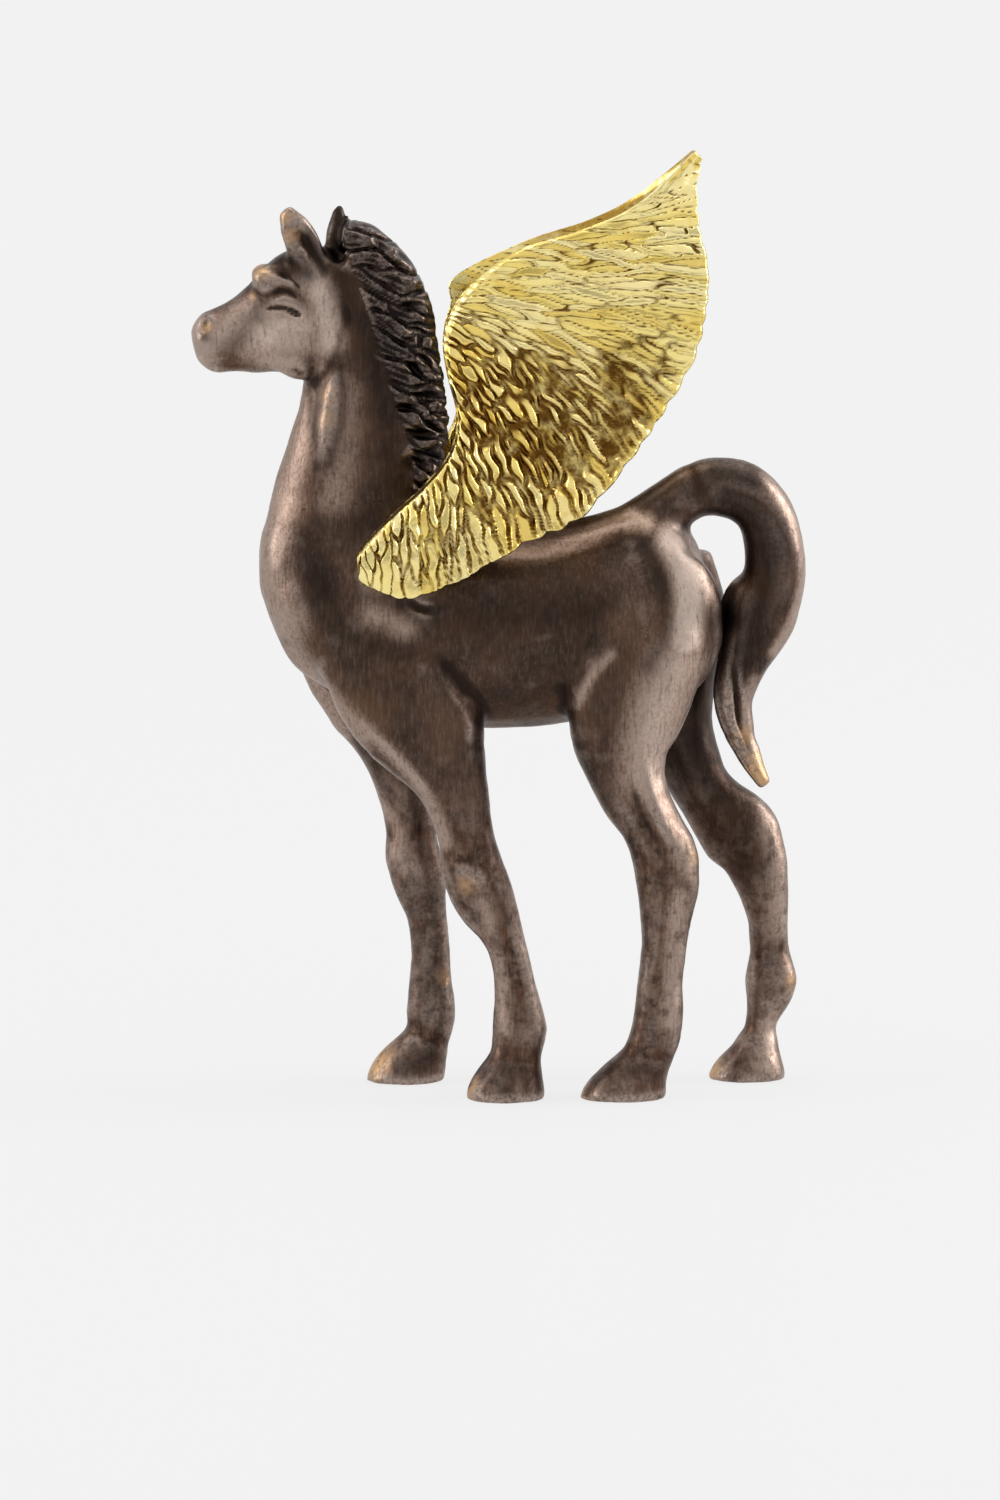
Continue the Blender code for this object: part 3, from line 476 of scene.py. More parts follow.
# The smooth rim of the leading edge: its distance from the edge and its half width, each with what the tip
# adds to it, the span of the tip, and the rim's height as a share of the feathers' relief
RIM_PLACE = (0.5, 0.4)
RIM_WIDTH = (0.25, 0.6)
RIM_TIP = (0.84, 0.08)
RIM_HEIGHT = 0.45
# Painted shade and a painted amber reflection on the inner face near the tip, where it faces the other
# wing: spans along and across the wing, how dark it is there, and how amber
INNER_ALONG = (0.7, 0.12)
INNER_ACROSS = (0.35, -0.2)
INNER_SHADE = 0.4
INNER_AMBER = 1.2
# Where the gilding is pale: spans at the tip and at the root, and how pale the root is
PALE_TIP = (0.84, 0.1)
PALE_ROOT = (0.16, -0.1)
PALE_ROOT_SHARE = 0.8

# How bright the background looks, how bright the studio is low on the camera's side, and the share of it
# that lights rough surfaces
BACKGROUND = 0.892
STUDIO_FRONT = 0.4
STUDIO_FILL = 0.6
# From where to where the studio turns bright: towards the back, upwards, and along the floor
STUDIO_BACK = (-0.3, 0.4)
STUDIO_UP = (0.0, 0.2)
STUDIO_FLOOR = (-0.9, -0.25)
CAMERA_AZIMUTH = -2.0
CAMERA_ELEVATION = 8.3
CAMERA_DISTANCE = 1.5
CAMERA_TARGET = (0.00025, 0.0, 0.0437)
SENSOR_WIDTH = 36.0
FRAME_HEIGHT = 0.1905
# The floor's size, how far it lies below the hooves, its greys, and the share and roughness of its gloss
FLOOR_SIDES = 96
FLOOR_RADIUS = 6.0
FLOOR_DROP = 0.02
FLOOR_GREY = (0.88, 0.88, 0.88, 1.0)
GLOSS_GREY = (0.9, 0.9, 0.9, 1.0)
FLOOR_GLOSS = 0.03
GLOSS_ROUGHNESS = 0.25
# The floor's own glow, and its share of what is seen: two distances from the object, and the value at each
GLOW_LEVEL = (0.15, 1.3, 0.895, 0.888)
GLOW_SHARE = (0.25, 1.0, 0.87, 1.0)
# Large soft lamps, which all look at one point: place, size and power
LAMP_AIM = (0.0, 0.0, 0.06)
LAMPS = {
    "left_softbox": ((-1.7, -0.28, 0.7), (0.8, 1.2), 9.6),
    "right_softbox": ((1.7, 0.12, 0.66), (0.8, 1.2), 18.4),
    "top_softbox": ((0.0, 0.1, 1.84), (1.6, 1.0), 8.0),
}


def curve_row(rows, at):
    """The row of numbers at a place on a Catmull-Rom curve through the rows, where each row is one apart."""
    i = min(int(at), len(rows) - 2)
    t = at - i
    four = rows[max(i - 1, 0)], rows[i], rows[i + 1], rows[min(i + 2, len(rows) - 1)]
    return [
        b + 0.5 * t * (c - a + t * (2 * a - 5 * b + 4 * c - d + t * (3 * b - a - 3 * c + d)))
        for a, b, c, d in zip(*four)
    ]


def smooth_rows(rows, steps):
    """Rows along the curve as an array, with that many steps from one given row to the next."""
    return np.array([curve_row(rows, i / steps) for i in range((len(rows) - 1) * steps + 1)])


def between(numbers, place):
    """The value at a place on straight lines through numbers that are one apart."""
    return np.interp(place, range(len(numbers)), numbers)


def fade(value, start, reach):
    """A smooth step from 0 at the start to 1 at the end of the reach, which may be negative."""
    share = np.clip((value - start) / reach, 0, 1)
    return share * share * (3 - 2 * share)


def bell(value, width):
    """1 where the value is 0, and falling away on both sides, with that half width."""
    return np.exp(-((value / width) ** 2))


def along_path(points, path):
    """For points in a plane: the distance to a path, and the length along it and its share."""
    starts, steps = path[:-1], np.diff(path, axis=0)
    lengths = np.linalg.norm(steps, axis=1)
    before = np.concatenate([[0], np.cumsum(lengths)])
    best = np.full(len(points), np.inf)
    length = np.zeros(len(points))
    for start, step, size, gone in zip(starts, steps, lengths, before):
        share = np.clip((points - start) @ step / size**2, 0, 1)
        away = np.linalg.norm(points - start - share[:, None] * step, axis=1)
        nearer = away < best
        best[nearer] = away[nearer]
        length[nearer] = gone + share[nearer] * size
    return best, length, length / before[-1]


class Skin:
    """A closed surface as points in millimetres and quads, which can be smoothed and carved."""

    def __init__(self, mesh):
        count = len(mesh.vertices)
        self.points = np.empty(count * 3)
        mesh.vertices.foreach_get("co", self.points)
        self.points = self.points.reshape(-1, 3) / MM
        self.quads = np.empty(len(mesh.polygons) * 4, np.int32)
        mesh.polygons.foreach_get("vertices", self.quads)
        self.quads = self.quads.reshape(-1, 4)
        self.link()

    def link(self):
        """Finds each point's neighbours."""
        sides = np.concatenate([self.quads[:, [i, (i + 1) % 4]] for i in range(4)])
        self.edges = np.unique(np.sort(sides, axis=1), axis=0)
        self.degree = np.bincount(self.edges.ravel(), minlength=len(self.points))

    def spread(self, values, rounds):
        """The values after that many rounds of averaging with the neighbours."""
        a, b = self.edges.T
        count = len(self.points)
        for _ in range(rounds):
            total = np.bincount(a, values[b], count) + np.bincount(b, values[a], count)
            values = 0.5 * values + 0.5 * total / self.degree
        return values

    def smoothed(self, rounds):
        """The points after that many rounds of smoothing."""
        return np.stack([self.spread(self.points[:, axis], rounds) for axis in range(3)], axis=1)

    def normals(self):
        """The unit normal at each point."""
        corners = self.points[self.quads]
        face = np.cross(corners[:, 2] - corners[:, 0], corners[:, 3] - corners[:, 1])
        total = np.stack(
            [
                sum(np.bincount(self.quads[:, i], face[:, axis], len(self.points)) for i in range(4))
                for axis in range(3)
            ],
            axis=1,
        )
        return total / np.maximum(np.linalg.norm(total, axis=1, keepdims=True), 1e-12)

    def soften(self, rounds, keep_rounds):
        """Smooths facets away, and then puts back what the broad forms lost."""
        before = self.points
        self.points = self.smoothed(rounds)
        normals = self.normals()
        lost = np.einsum("ij,ij->i", before - self.points, normals)
        self.points = self.points + normals * self.spread(lost, keep_rounds)[:, None]

    def push(self, height):
        """Moves each point along its normal."""
        self.points = self.points + self.normals() * height[:, None]

    def melt(self, where, rounds):
        """Smooths bumps away, as far as a share for each point says."""
        self.points = self.points + (self.smoothed(rounds) - self.points) * where[:, None]

    def groups(self, open_edges):
        """A label for each point: points that the given edges connect share one."""
        label = np.arange(len(self.points))
        while True:
            low = label.copy()
            for a, b in (open_edges.T, open_edges.T[::-1]):
                np.minimum.at(low, a, label[b])
            low = low[low]
            if np.array_equal(low, label):
                return label
            label = low

    def keep_largest(self):
        """Drops closed hollows and crumbs, which aren't connected to the outer surface."""
        label = self.groups(self.edges)
        main = np.bincount(label).argmax()
        kept = label == main
        index = np.cumsum(kept) - 1
        self.quads = index[self.quads[kept[self.quads[:, 0]]]]
        self.points = self.points[kept]
        self.link()


def placed(name, data):
    """A new object in the scene."""
    made = bpy.data.objects.new(name, data)
    bpy.context.scene.collection.objects.link(made)
    return made


def casting_copy(bm, name):
    """Adds a casting to a bmesh, with its joint faces moved a little over the joint, into its neighbour."""
    part = bmesh.new()
    part.from_mesh(frame["nodes"][name].data)
    bmesh.ops.remove_doubles(part, verts=part.verts, dist=WELD * MM)
    for point, normal, reach in JOINTS:
        point, normal = Vector(point) * MM, Vector(normal).normalized()
        for vert in part.verts:
            gap = (vert.co - point).dot(normal)
            if abs(gap) < JOINT_REACH * MM and (vert.co - point).length < reach * MM:
                vert.co -= normal * math.copysign(JOINT_OVERLAP * MM, gap)
    mesh = bpy.data.meshes.new(name + "_copy")
    part.to_mesh(mesh)
    part.free()
    bm.from_mesh(mesh)
    bpy.data.meshes.remove(mesh)


def fused_castings():
    """The castings joined into one skin, meshed finely."""
    bm = bmesh.new()
    for name in CASTINGS:
        casting_copy(bm, name)
    mesh = bpy.data.meshes.new("fused")
    bm.to_mesh(mesh)
    bm.free()
    item = placed("fused", mesh)
    remesh = item.modifiers.new("remesh", "REMESH")
    remesh.mode = "VOXEL"
    remesh.voxel_size = SKIN_VOXEL * MM
    fine = bpy.data.meshes.new_from_object(item.evaluated_get(bpy.context.evaluated_depsgraph_get()))
    skin = Skin(fine)
    bpy.data.objects.remove(item)
    bpy.data.meshes.remove(mesh)
    bpy.data.meshes.remove(fine)
    skin.keep_largest()
    return skin


def seams(skin):
    """How near each point is to a joint between castings, from 0 to 1."""
    near = np.zeros(len(skin.points))
    for point, normal, reach in JOINTS:
        offset = skin.points - point
        within = np.linalg.norm(offset, axis=1) < reach
        near = np.maximum(near, within * bell(offset @ normal, SEAM_REACH))
    return near


def stroke_height(skin, normals, width, depth, sides, path):
    """How far one tool stroke raises or lowers each point."""
    height = np.zeros(len(skin.points))
    curve = smooth_rows(path, CARVE_STEPS)
    low, high = curve.min(0) - STROKE_REACH * width, curve.max(0) + STROKE_REACH * width
    flat = skin.points[:, [0, 2]]
    near = np.flatnonzero(((flat > low) & (flat < high)).all(1))
    away, _, share = along_path(flat[near], curve)
    shape = depth * bell(away, width) * fade(np.minimum(share, 1 - share), 0, STROKE_TAPER)
    for side in sides:
        facing = fade(normals[near, 1] * side, *STROKE_FACING) * (skin.points[near, 1] * side > 0)
        height[near] += shape * facing
    return height


def scatter(seed, tries, spacing, draw):
    """Leaves strewn so that none lies too close to another: x, z, direction, half length and half width.

    draw(rng) proposes a leaf, or None where there is no room for one.
    """
    rng = random.Random(seed)
    leaves = np.empty((0, 5))
    for _ in range(tries):
        leaf = draw(rng)
        if leaf is None:
            continue
        along, across = leaf_place(leaves[:, :2], leaf)
        if len(leaves) == 0 or np.hypot(along, across).min() > spacing:
            leaves = np.vstack([leaves, leaf])
    return leaves


def leaf_place(flat, leaf):
    """Points of the side view in a leaf's own measure: half lengths along it and half widths across it."""
    x, z, direction, length, width = leaf
    offset = flat - (x, z)
    along = offset @ (math.cos(direction), math.sin(direction)) / length
    across = offset @ (-math.sin(direction), math.cos(direction)) / width
    return along, across


def leaf_field(flat, leaves):
    """For points of the side view: the nearest leaf, the place on it, and how far off the next one is."""
    nearest = np.full(len(flat), LEAF_NONE)
    second = nearest.copy()
    which = np.zeros(len(flat), int)
    along = np.zeros(len(flat))
    across = np.zeros(len(flat))
    for index, leaf in enumerate(leaves):
        near = np.flatnonzero(np.abs(flat - leaf[:2]).max(1) < LEAF_REACH * leaf[3])
        run, side = leaf_place(flat[near], leaf)
        away = np.hypot(run, side)
        second[near] = np.minimum(second[near], np.maximum(away, nearest[near]))
        nearer = away < nearest[near]
        hit = near[nearer]
        which[hit] = index
        nearest[hit] = away[nearer]
        along[hit] = run[nearer]
        across[hit] = side[nearer]
    return which, along, across, second - nearest


def wavered(flat, size, scale, seed):
    """Points of the side view, each moved a little by a noise of that size and scale."""
    shift = [noise.noise_vector(Vector((x * scale, z * scale, seed)))[:2] for x, z in flat]
    return flat + size * np.array(shift)


def mane_width(share):
    """The mane's width at a share of the crest's length."""
    return between(MANE_WIDTHS, share * (len(MANE_WIDTHS) - 1))


def mane_locks(seed):
    """The locks on one side of the mane, which run from the neck to the crest."""
    crest = smooth_rows(CREST, CARVE_STEPS)

    def draw(rng):
        share = rng.random()
        place = share * (len(crest) - 2)
        x, z = curve_row(crest, place)
        ahead_x, ahead_z = curve_row(crest, place + 0.5)
        forward = math.atan2(ahead_z - z, ahead_x - x) - math.pi / 2
        away = rng.random() * mane_width(share)
        direction, spread = LOCK_DIRECTION
        turned = math.radians(direction + rng.uniform(-spread, spread))
        length, half_width = (rng.uniform(*LOCK_SPREAD) * size for size in LOCK_SIZE)
        return x + away * math.cos(forward), z + away * math.sin(forward), turned, length, half_width

    return scatter(seed, LOCK_TRIES, LOCK_SPACING, draw)


def mane_height(skin):
    """How far the mane's locks and hairs raise each point, and how much of the point is mane."""
    x, y, z = skin.points.T
    flat = skin.points[:, [0, 2]]
    away, _, share = along_path(flat, smooth_rows(CREST, CARVE_STEPS))
    over = np.hypot(away, MANE_ROUND * y) / mane_width(share)
    hair = fade(over, *MANE_EDGE) * fade(z, *MANE_FOOT) * (share > MANE_START) * (x < 0)
    height = np.zeros(len(skin.points))
    for side, seed in LOCK_SEEDS.items():
        here = np.flatnonzero((hair > 0) & (y * side >= 0))
        locks = mane_locks(seed)
        which, along, across, gap = leaf_field(wavered(flat[here], *LOCK_WAVER, seed), locks)
        rng = random.Random(seed)
        lift = np.array([rng.uniform(-LOCK_LIFT, LOCK_LIFT) for _ in locks])[which]
        lock = 1 - bell(gap, LOCK_GAP) * (1 - LOCK_OPEN * fade(np.abs(along), *LEAF_END))
        hairs = np.cos(2 * np.pi * HAIRS_PER_LOCK * across + along)
        slope = LOCK_SLOPE * np.clip(across, -1, 1) + LOCK_SLOPE * np.clip(along, -1, 1) + lift
        height[here] = LOCK_DEPTH * (lock * (1 + slope) - LOCK_SINK) + HAIR_DEPTH * hairs * lock
    ends = np.abs(np.cos(np.pi * (z - LOCK_END_SLANT * np.abs(y) - LOCK_END_Z) / LOCK_END_SPACING)) - 0.5
    ends = LOCK_END_REACH * ends * bell(away, LOCK_END_BAND) * fade(z, *LOCK_END_TOP)
    least, full = CREST_RELIEF
    return (height * (least + (1 - least) * fade(np.abs(y), 0, full)) + ends) * hair, hair


def tail_height(skin, tail):
    """How far hairs that twist along the tail, and part towards its end, raise each point."""
    line = smooth_rows(TAIL_LINE, CARVE_STEPS)
    flat = skin.points[:, [0, 2]]
    _, _, share = along_path(flat, line[:, :2])
    place = share * (len(line) - 1)
    middle, ahead = (
        np.stack([between(column, at) for column in line.T[:2]], axis=1) for at in (place, place + 1)
    )
    run = ahead - middle
    offset = flat - middle
    signed = (run[:, 0] * offset[:, 1] - run[:, 1] * offset[:, 0]) / np.maximum(np.hypot(*run.T), 1e-6)
    angle = np.arctan2(signed, skin.points[:, 1])
    waver, lengthwise, round_it = TAIL_WAVER
    turns = TAIL_HAIRS * (angle + TAIL_TWIST * share) + waver * np.sin(lengthwise * share + round_it * angle)
    size = between(line[:, 2], place) / line[:, 2].max()
    parted = TAIL_UNPARTED + (1 - TAIL_UNPARTED) * fade(share, *TAIL_PARTING)
    ridges = np.abs(np.sin(turns / 2)) - TAIL_HAIR_SINK
    return TAIL_HAIR_DEPTH * ridges * size * tail * parted * fade(share, *TAIL_START)


def hoof_height(skin):
    """How far a lip round the upper edge of each hoof, and a fine groove above it, move each point."""
    height = np.zeros(len(skin.points))
    for (x, y), edge, slope in CORONETS:
        away = np.hypot(skin.points[:, 0] - x, skin.points[:, 1] - y)
        over = skin.points[:, 2] - edge - slope * (skin.points[:, 0] - x)
        ring = sum(rise * bell(over - place, CORONET_WIDTH) for rise, place in CORONET_RINGS)
        height += ring * fade(away, *CORONET_SPAN)
    return height


def hand_height(skin):
    """The unevenness of a surface worked by hand."""
    places = [Vector(point) for point in skin.points]
    return sum(
        rise * np.array([noise.noise(place * scale) for place in places]) for rise, scale in HAND_NOISE
    )


def casting_of_points(skin):
    """The index in CASTINGS of the casting that each point belongs to."""

    def over(joint):
        point, normal, _ = joint
        return (skin.points - point) @ normal

    x, y, _ = skin.points.T
    owner = np.zeros(len(skin.points), int)
    owner[(over(NECK_JOINT) > 0) & (x < NECK_REAR_X)] = CASTINGS.index("neck_and_head")
    legs = over(LEG_JOINT) < 0
    fore = x < MID_LENGTH_X
    for name, spot in (
        ("left_foreleg", fore & (y < 0)),
        ("right_foreleg", fore & (y >= 0)),
        ("left_hind_leg", ~fore & (y < 0)),
        ("right_hind_leg", ~fore & (y >= 0)),
    ):
        owner[legs & spot] = CASTINGS.index(name)
    beyond = over(TAIL_JOINT) > 0
    at_dock = np.linalg.norm(skin.points - TAIL_JOINT[0], axis=1) < TAIL_JOINT[2]
    a, b = skin.edges.T
    sawn = at_dock[a] & at_dock[b] & (beyond[a] != beyond[b])
    label = skin.groups(skin.edges[~sawn])
    tip = np.linalg.norm(skin.points - (TAIL_LINE[-1][0], 0, TAIL_LINE[-1][1]), axis=1).argmin()
    owner[label == label[tip]] = CASTINGS.index("tail")
    return owner


def piece(name, mesh, nodes, finish):
    """A piece of the statuette in place of those CAD nodes."""
    made = placed(name, mesh)
    mesh.materials.append(finish)
    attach(made, "root")
    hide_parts(*nodes)


def point_values(mesh, values):
    """Stores a named number for each point of a mesh."""
    for name, numbers in values.items():
        mesh.attributes.new(name, "FLOAT", "POINT").data.foreach_set("value", numbers.astype(np.float32))


def saw(skin, owner, values, finish):
    """Cuts the skin into its castings, each closed, with the shading of the whole skin."""
    normals = skin.normals()
    face_owner = np.sort(owner[skin.quads], axis=1)[:, 1]
    for index, name in enumerate(CASTINGS):
        quads = skin.quads[face_owner == index]
        used, local = np.unique(quads, return_inverse=True)
        mesh = bpy.data.meshes.new(name + "_skin")
        mesh.from_pydata(skin.points[used] * MM, [], local.reshape(-1, 4).tolist())
        point_values(mesh, {key: numbers[used] for key, numbers in values.items()})
        bm = bmesh.new()
        bm.from_mesh(mesh)
        rims = [edge for edge in bm.edges if edge.is_boundary]
        bmesh.ops.holes_fill(bm, edges=rims, sides=0)
        bm.to_mesh(mesh)
        bm.free()
        mesh.shade_smooth()
        mesh.normals_split_custom_set_from_vertices(normals[used].tolist())
        piece(name + "_skin", mesh, [name], finish)


def painted(skin, rows):
    """How strongly rows of half width, strength, sides and path in the side view cover each point."""
    flat = skin.points[:, [0, 2]]
    side = np.where(skin.points[:, 1] < 0, LEFT, RIGHT)
    cover = np.zeros(len(flat))
    for width, strength, sides, path in rows.values():
        away, _, _ = along_path(flat, smooth_rows(path, PAINT_STEPS))
        cover = np.maximum(cover, strength * bell(away, width) * np.isin(side, sides))
    return cover


def glints(skin):
    """How much gold each point takes: partly worn bronze and partly a painted glint."""
    glint = np.zeros(len(skin.points))
    for centre, radius, strength in GLINTS:
        away = np.linalg.norm(skin.points - centre, axis=1)
        glint = np.maximum(glint, strength * bell(away, radius))
    return glint


def bronze(finish, low, high):
    """The castings with all their carving, inside the CAD model's box."""
    skin = fused_castings()
    skin.soften(FORM_ROUNDS, KEEP_ROUNDS)
    skin.melt(seams(skin), SEAM_ROUNDS)
    skin.melt(bell(np.linalg.norm(skin.points - FLANK, axis=1), FLANK_REACH), FLANK_ROUNDS)
    owner = casting_of_points(skin)
    normals = skin.normals()
    tail = (owner == CASTINGS.index("tail")).astype(float)
    neck = (owner == CASTINGS.index("neck_and_head")).astype(float)
    neck = skin.spread(neck, MANE_END_ROUNDS)
    height = sum(stroke_height(skin, normals, *stroke) for stroke in STROKES.values())
    mane, hair = mane_height(skin)
    hair = hair * neck
    height += mane * neck
    height += tail_height(skin, tail) + hoof_height(skin)
    skin.push(height)
    skin.points = np.clip(skin.points, low, high)
    normals = skin.normals()
    wear, cavity = np.zeros((2, len(skin.points)))
    for rounds, full, worn, sunk in RELIEF_SCALES:
        relief = np.einsum("ij,ij->i", skin.points - skin.smoothed(rounds), normals)
        wear = wear + worn * relief / full
        cavity = cavity - sunk * relief / full
    skin.push(hand_height(skin) * (1 - hair))
    skin.points = np.clip(skin.points, low, high)
    values = {
        "wear": np.clip(wear, 0, 1),
        "cavity": np.clip(cavity, 0, 1),
        "hair": hair,
        # Painted highlights with patina rubbed pale, painted shade, and gold spots that are partly painted
        # glints
        "rub_and_highlight": painted(skin, RUBS_AND_HIGHLIGHTS),
        "painted_shade": painted(skin, PAINTED_SHADES),
        "glint": glints(skin),
        "leg": fade(skin.points[:, 2], *LEG_SPAN),
    }
    saw(skin, owner, values, finish)


def wing_thickness(along, across):
    """Full thickness of a wing: a stout arm at the root, a rounded leading edge and a thin trailing edge."""
    arm = np.maximum(0, 1 - along / WING_ARM_END)
    tip = np.maximum(0, (along - WING_TIP_START) / (1 - WING_TIP_START))
    nose = np.minimum(1, across / WING_NOSE_SHARE)
    tail = np.maximum(0, (across - WING_NOSE_SHARE) / (1 - WING_NOSE_SHARE))
    stout = np.minimum(1, WING_ARM_RISE * arm)
    full = WING_EDGE_THICKNESS + (WING_ROOT_THICKNESS - WING_EDGE_THICKNESS) * stout
    full = full + (WING_TIP_THICKNESS - full) * tip
    taper = 1 - (1 - WING_TRAILING_SHARE) * tail ** (1 + WING_ARM_FULLNESS * arm)
    return full * np.sqrt(1 - (1 - nose) ** 2) * taper


def wing_edges(side):
    """The leading and the trailing edge of a wing on its sections, as arrays of points."""
    along = np.linspace(0, 1, WING_SECTIONS + 1)
    rows = np.array([curve_row(WING, place * (len(WING) - 1)) for place in along])
    lead = rows[:, [0, 4, 1]]
    trail = rows[:, [2, 5, 3]]
    if side == RIGHT:
        lead[:, 0] += rows[:, 6]
    run = trail - lead
    run /= np.linalg.norm(run, axis=1, keepdims=True)
    place = along * QUILLS
    for size, rate in QUILL_WAVES:
        place = place + size * np.sin(rate * along)
    size, rate = QUILL_SIZES
    uneven = (1 - size + size * np.sin(rate * along)) * (1 - QUILL_SHRINK * fade(along, *QUILL_TIP))
    quill = QUILL_REACH * uneven * (np.sin(np.pi * (place % 1)) - 0.5) * np.minimum(1, QUILL_RISE * along)
    return along, lead, trail + run * quill[:, None]


def plumage_row(along):
    """What PLUMAGE says of the feathers at a share of the wing's length."""
    shares, *columns = zip(*PLUMAGE)
    return [np.interp(along, shares, column) for column in columns]


def wing_feathers(along, lead, trail, seed):
    """The feathers of one face of a wing."""
    chord = np.linalg.norm(trail - lead, axis=1)
    stretch, lower_stretch = FEATHER_STRETCH

    def draw(rng):
        i = rng.randrange(len(along))
        if rng.random() > chord[i] / chord.max():
            return None
        length, width, turn, *_ = plumage_row(along[i])
        reach = rng.random()
        x, _, z = lead[i] + (trail[i] - lead[i]) * reach
        run_x, _, run_z = trail[i] - lead[i]
        lower = fade(reach, *LOWER_ACROSS) * (1 - fade(along[i], *LOWER_END))
        length *= 1 + stretch * reach + lower_stretch * lower
        direction = math.atan2(run_z, run_x) + math.radians(turn + rng.uniform(-FEATHER_TURN, FEATHER_TURN))
        size = rng.uniform(*FEATHER_SPREAD)
        return x, z, direction, length * size, width * size

    return scatter(seed, FEATHER_TRIES, FEATHER_SPACING, draw)


def feather_relief(flat, along, leaves, seed):
    """For points of the side view: the feathers' height, the depth of the gaps, and the feathers' tone."""
    _, _, _, height, gap, opened, waver, _ = plumage_row(along)
    ruffled = np.zeros(len(flat))
    for centre, radius in RUFFLES:
        ruffled = np.maximum(ruffled, bell(np.linalg.norm(flat - centre, axis=1), radius))
    gap = gap * (1 + RUFFLE_GAP * ruffled)
    height = height * (1 + RUFFLE_RISE * ruffled)
    which, run, side, room = leaf_field(wavered(flat, waver[:, None], FEATHER_WAVER, seed), leaves)
    rng = random.Random(seed)
    rise, lean, lift, cut = np.array([[rng.uniform(-1, 1) for _ in range(4)] for _ in leaves]).T[:, which]
    groove = bell(room, gap * (1 + GAP_SPREAD * cut)) * (1 - opened * fade(np.abs(run), *LEAF_END))
    slope, cross_slope = FEATHER_SLOPES
    run, side = (np.clip(place, -FEATHER_SLOPE_END, FEATHER_SLOPE_END) for place in (run, side))
    tilt = FEATHER_LEVEL + FEATHER_LIFT * lift + slope * (1 + FEATHER_SLOPE_SPREAD * rise) * run
    tilt += cross_slope * lean * side
    return height * (1 - groove) * tilt, groove, 0.5 + 0.5 * lift


def wing(name, side, finish, low, high):
    """A gilded wing, whose faces are covered with overlapping feathers."""
    along, lead, trail = wing_edges(side)
    run, over = np.meshgrid(along, np.linspace(0, 1, WING_ROWS + 1), indexing="ij")
    middle = lead[:, None] + (trail - lead)[:, None] * over[..., None]
    middle[..., 1] -= WING_CUP * np.sin(np.pi * over) * np.minimum(1, WING_CUP_RISE * run)
    flat = middle[..., [0, 2]].reshape(-1, 2)
    chord = np.linalg.norm(trail - lead, axis=1)[:, None] * over
    tip = fade(run, *RIM_TIP)
    rim = bell(chord - RIM_PLACE[0] - RIM_PLACE[1] * tip, RIM_WIDTH[0] + RIM_WIDTH[1] * tip)
    edge = np.minimum(1, np.minimum(over / WING_EDGES[0], (1 - over) / WING_EDGES[1]))
    half = np.maximum(wing_thickness(run, over), WING_LEAST_THICKNESS) / 2
    _, _, _, depth, *_, amber = plumage_row(run)
    level = FEATHER_SINK * depth
    points = []
    values = {"cavity": [], "tone": [], "amber": []}
    for face, seed in WING_FACES.items():
        leaves = wing_feathers(along, lead, trail, seed + side)
        relief, groove, tone = (
            numbers.reshape(run.shape) for numbers in feather_relief(flat, run.ravel(), leaves, seed)
        )
        relief += (np.maximum(relief, RIM_HEIGHT * depth) - relief) * rim
        height = np.maximum(half + relief - level, WING_LEAST_HEIGHT) * np.where(over > 0, edge, 0)
        skin = middle.copy()
        skin[..., 1] += face * height
        if face < 0:
            skin[..., 1] = np.maximum(skin[..., 1], np.minimum(middle[..., 1], WING_SEAT_Y))
        skin[..., 1] *= side
        points.append(skin)
        # Painted shade and a painted amber reflection on the inner face near the tip
        inner_shade = fade(run, *INNER_ALONG) * fade(over, *INNER_ACROSS) * (face < 0)
        pale_ends = np.maximum(fade(run, *PALE_TIP), PALE_ROOT_SHARE * fade(run, *PALE_ROOT))
        # The gaps' darkness, which the gilding paints as shade
        groove = groove * (1 - rim) * fade(over, *GAP_END)
        values["cavity"].append(np.maximum(groove, INNER_SHADE * inner_shade))
        values["tone"].append(np.maximum(tone, pale_ends))
        values["amber"].append(np.maximum(amber, INNER_AMBER * inner_shade))
    values = {key: np.concatenate(numbers).ravel() for key, numbers in values.items()}
    mesh = wing_mesh(name, points, values, low, high)
    piece(name + "_feathers", mesh, [name], finish)


def wing_mesh(name, faces, values, low, high):
    """A closed mesh of a wing's outer and inner face."""
    rows, columns = faces[0].shape[:2]
    index = np.arange(rows * columns).reshape(rows, columns)
    inner = index + rows * columns
    inner[:, 0] = index[:, 0]
    inner[:, -1] = index[:, -1]
    inner[0] = index[0]
    inner[-1] = index[-1]
    points = np.clip(np.concatenate([face.reshape(-1, 3) for face in faces]), low, high)
    quads = []
    for grid, order in ((index, 1), (inner, -1)):
        quad = np.stack([grid[:-1, :-1], grid[:-1, 1:], grid[1:, 1:], grid[1:, :-1]], axis=-1).reshape(-1, 4)
        quads.append(quad[:, ::order])
    quads = np.concatenate(quads)
    used, local = np.unique(quads, return_inverse=True)
    mesh = bpy.data.meshes.new(name + "_feathers")
    mesh.from_pydata(points[used] * MM, [], local.reshape(-1, 4).tolist())
    point_values(mesh, {key: numbers[used] for key, numbers in values.items()})
    bm = bmesh.new()
    bm.from_mesh(mesh)
    bmesh.ops.recalc_face_normals(bm, faces=bm.faces)
    bm.to_mesh(mesh)
    bm.free()
    mesh.shade_smooth()
    return mesh


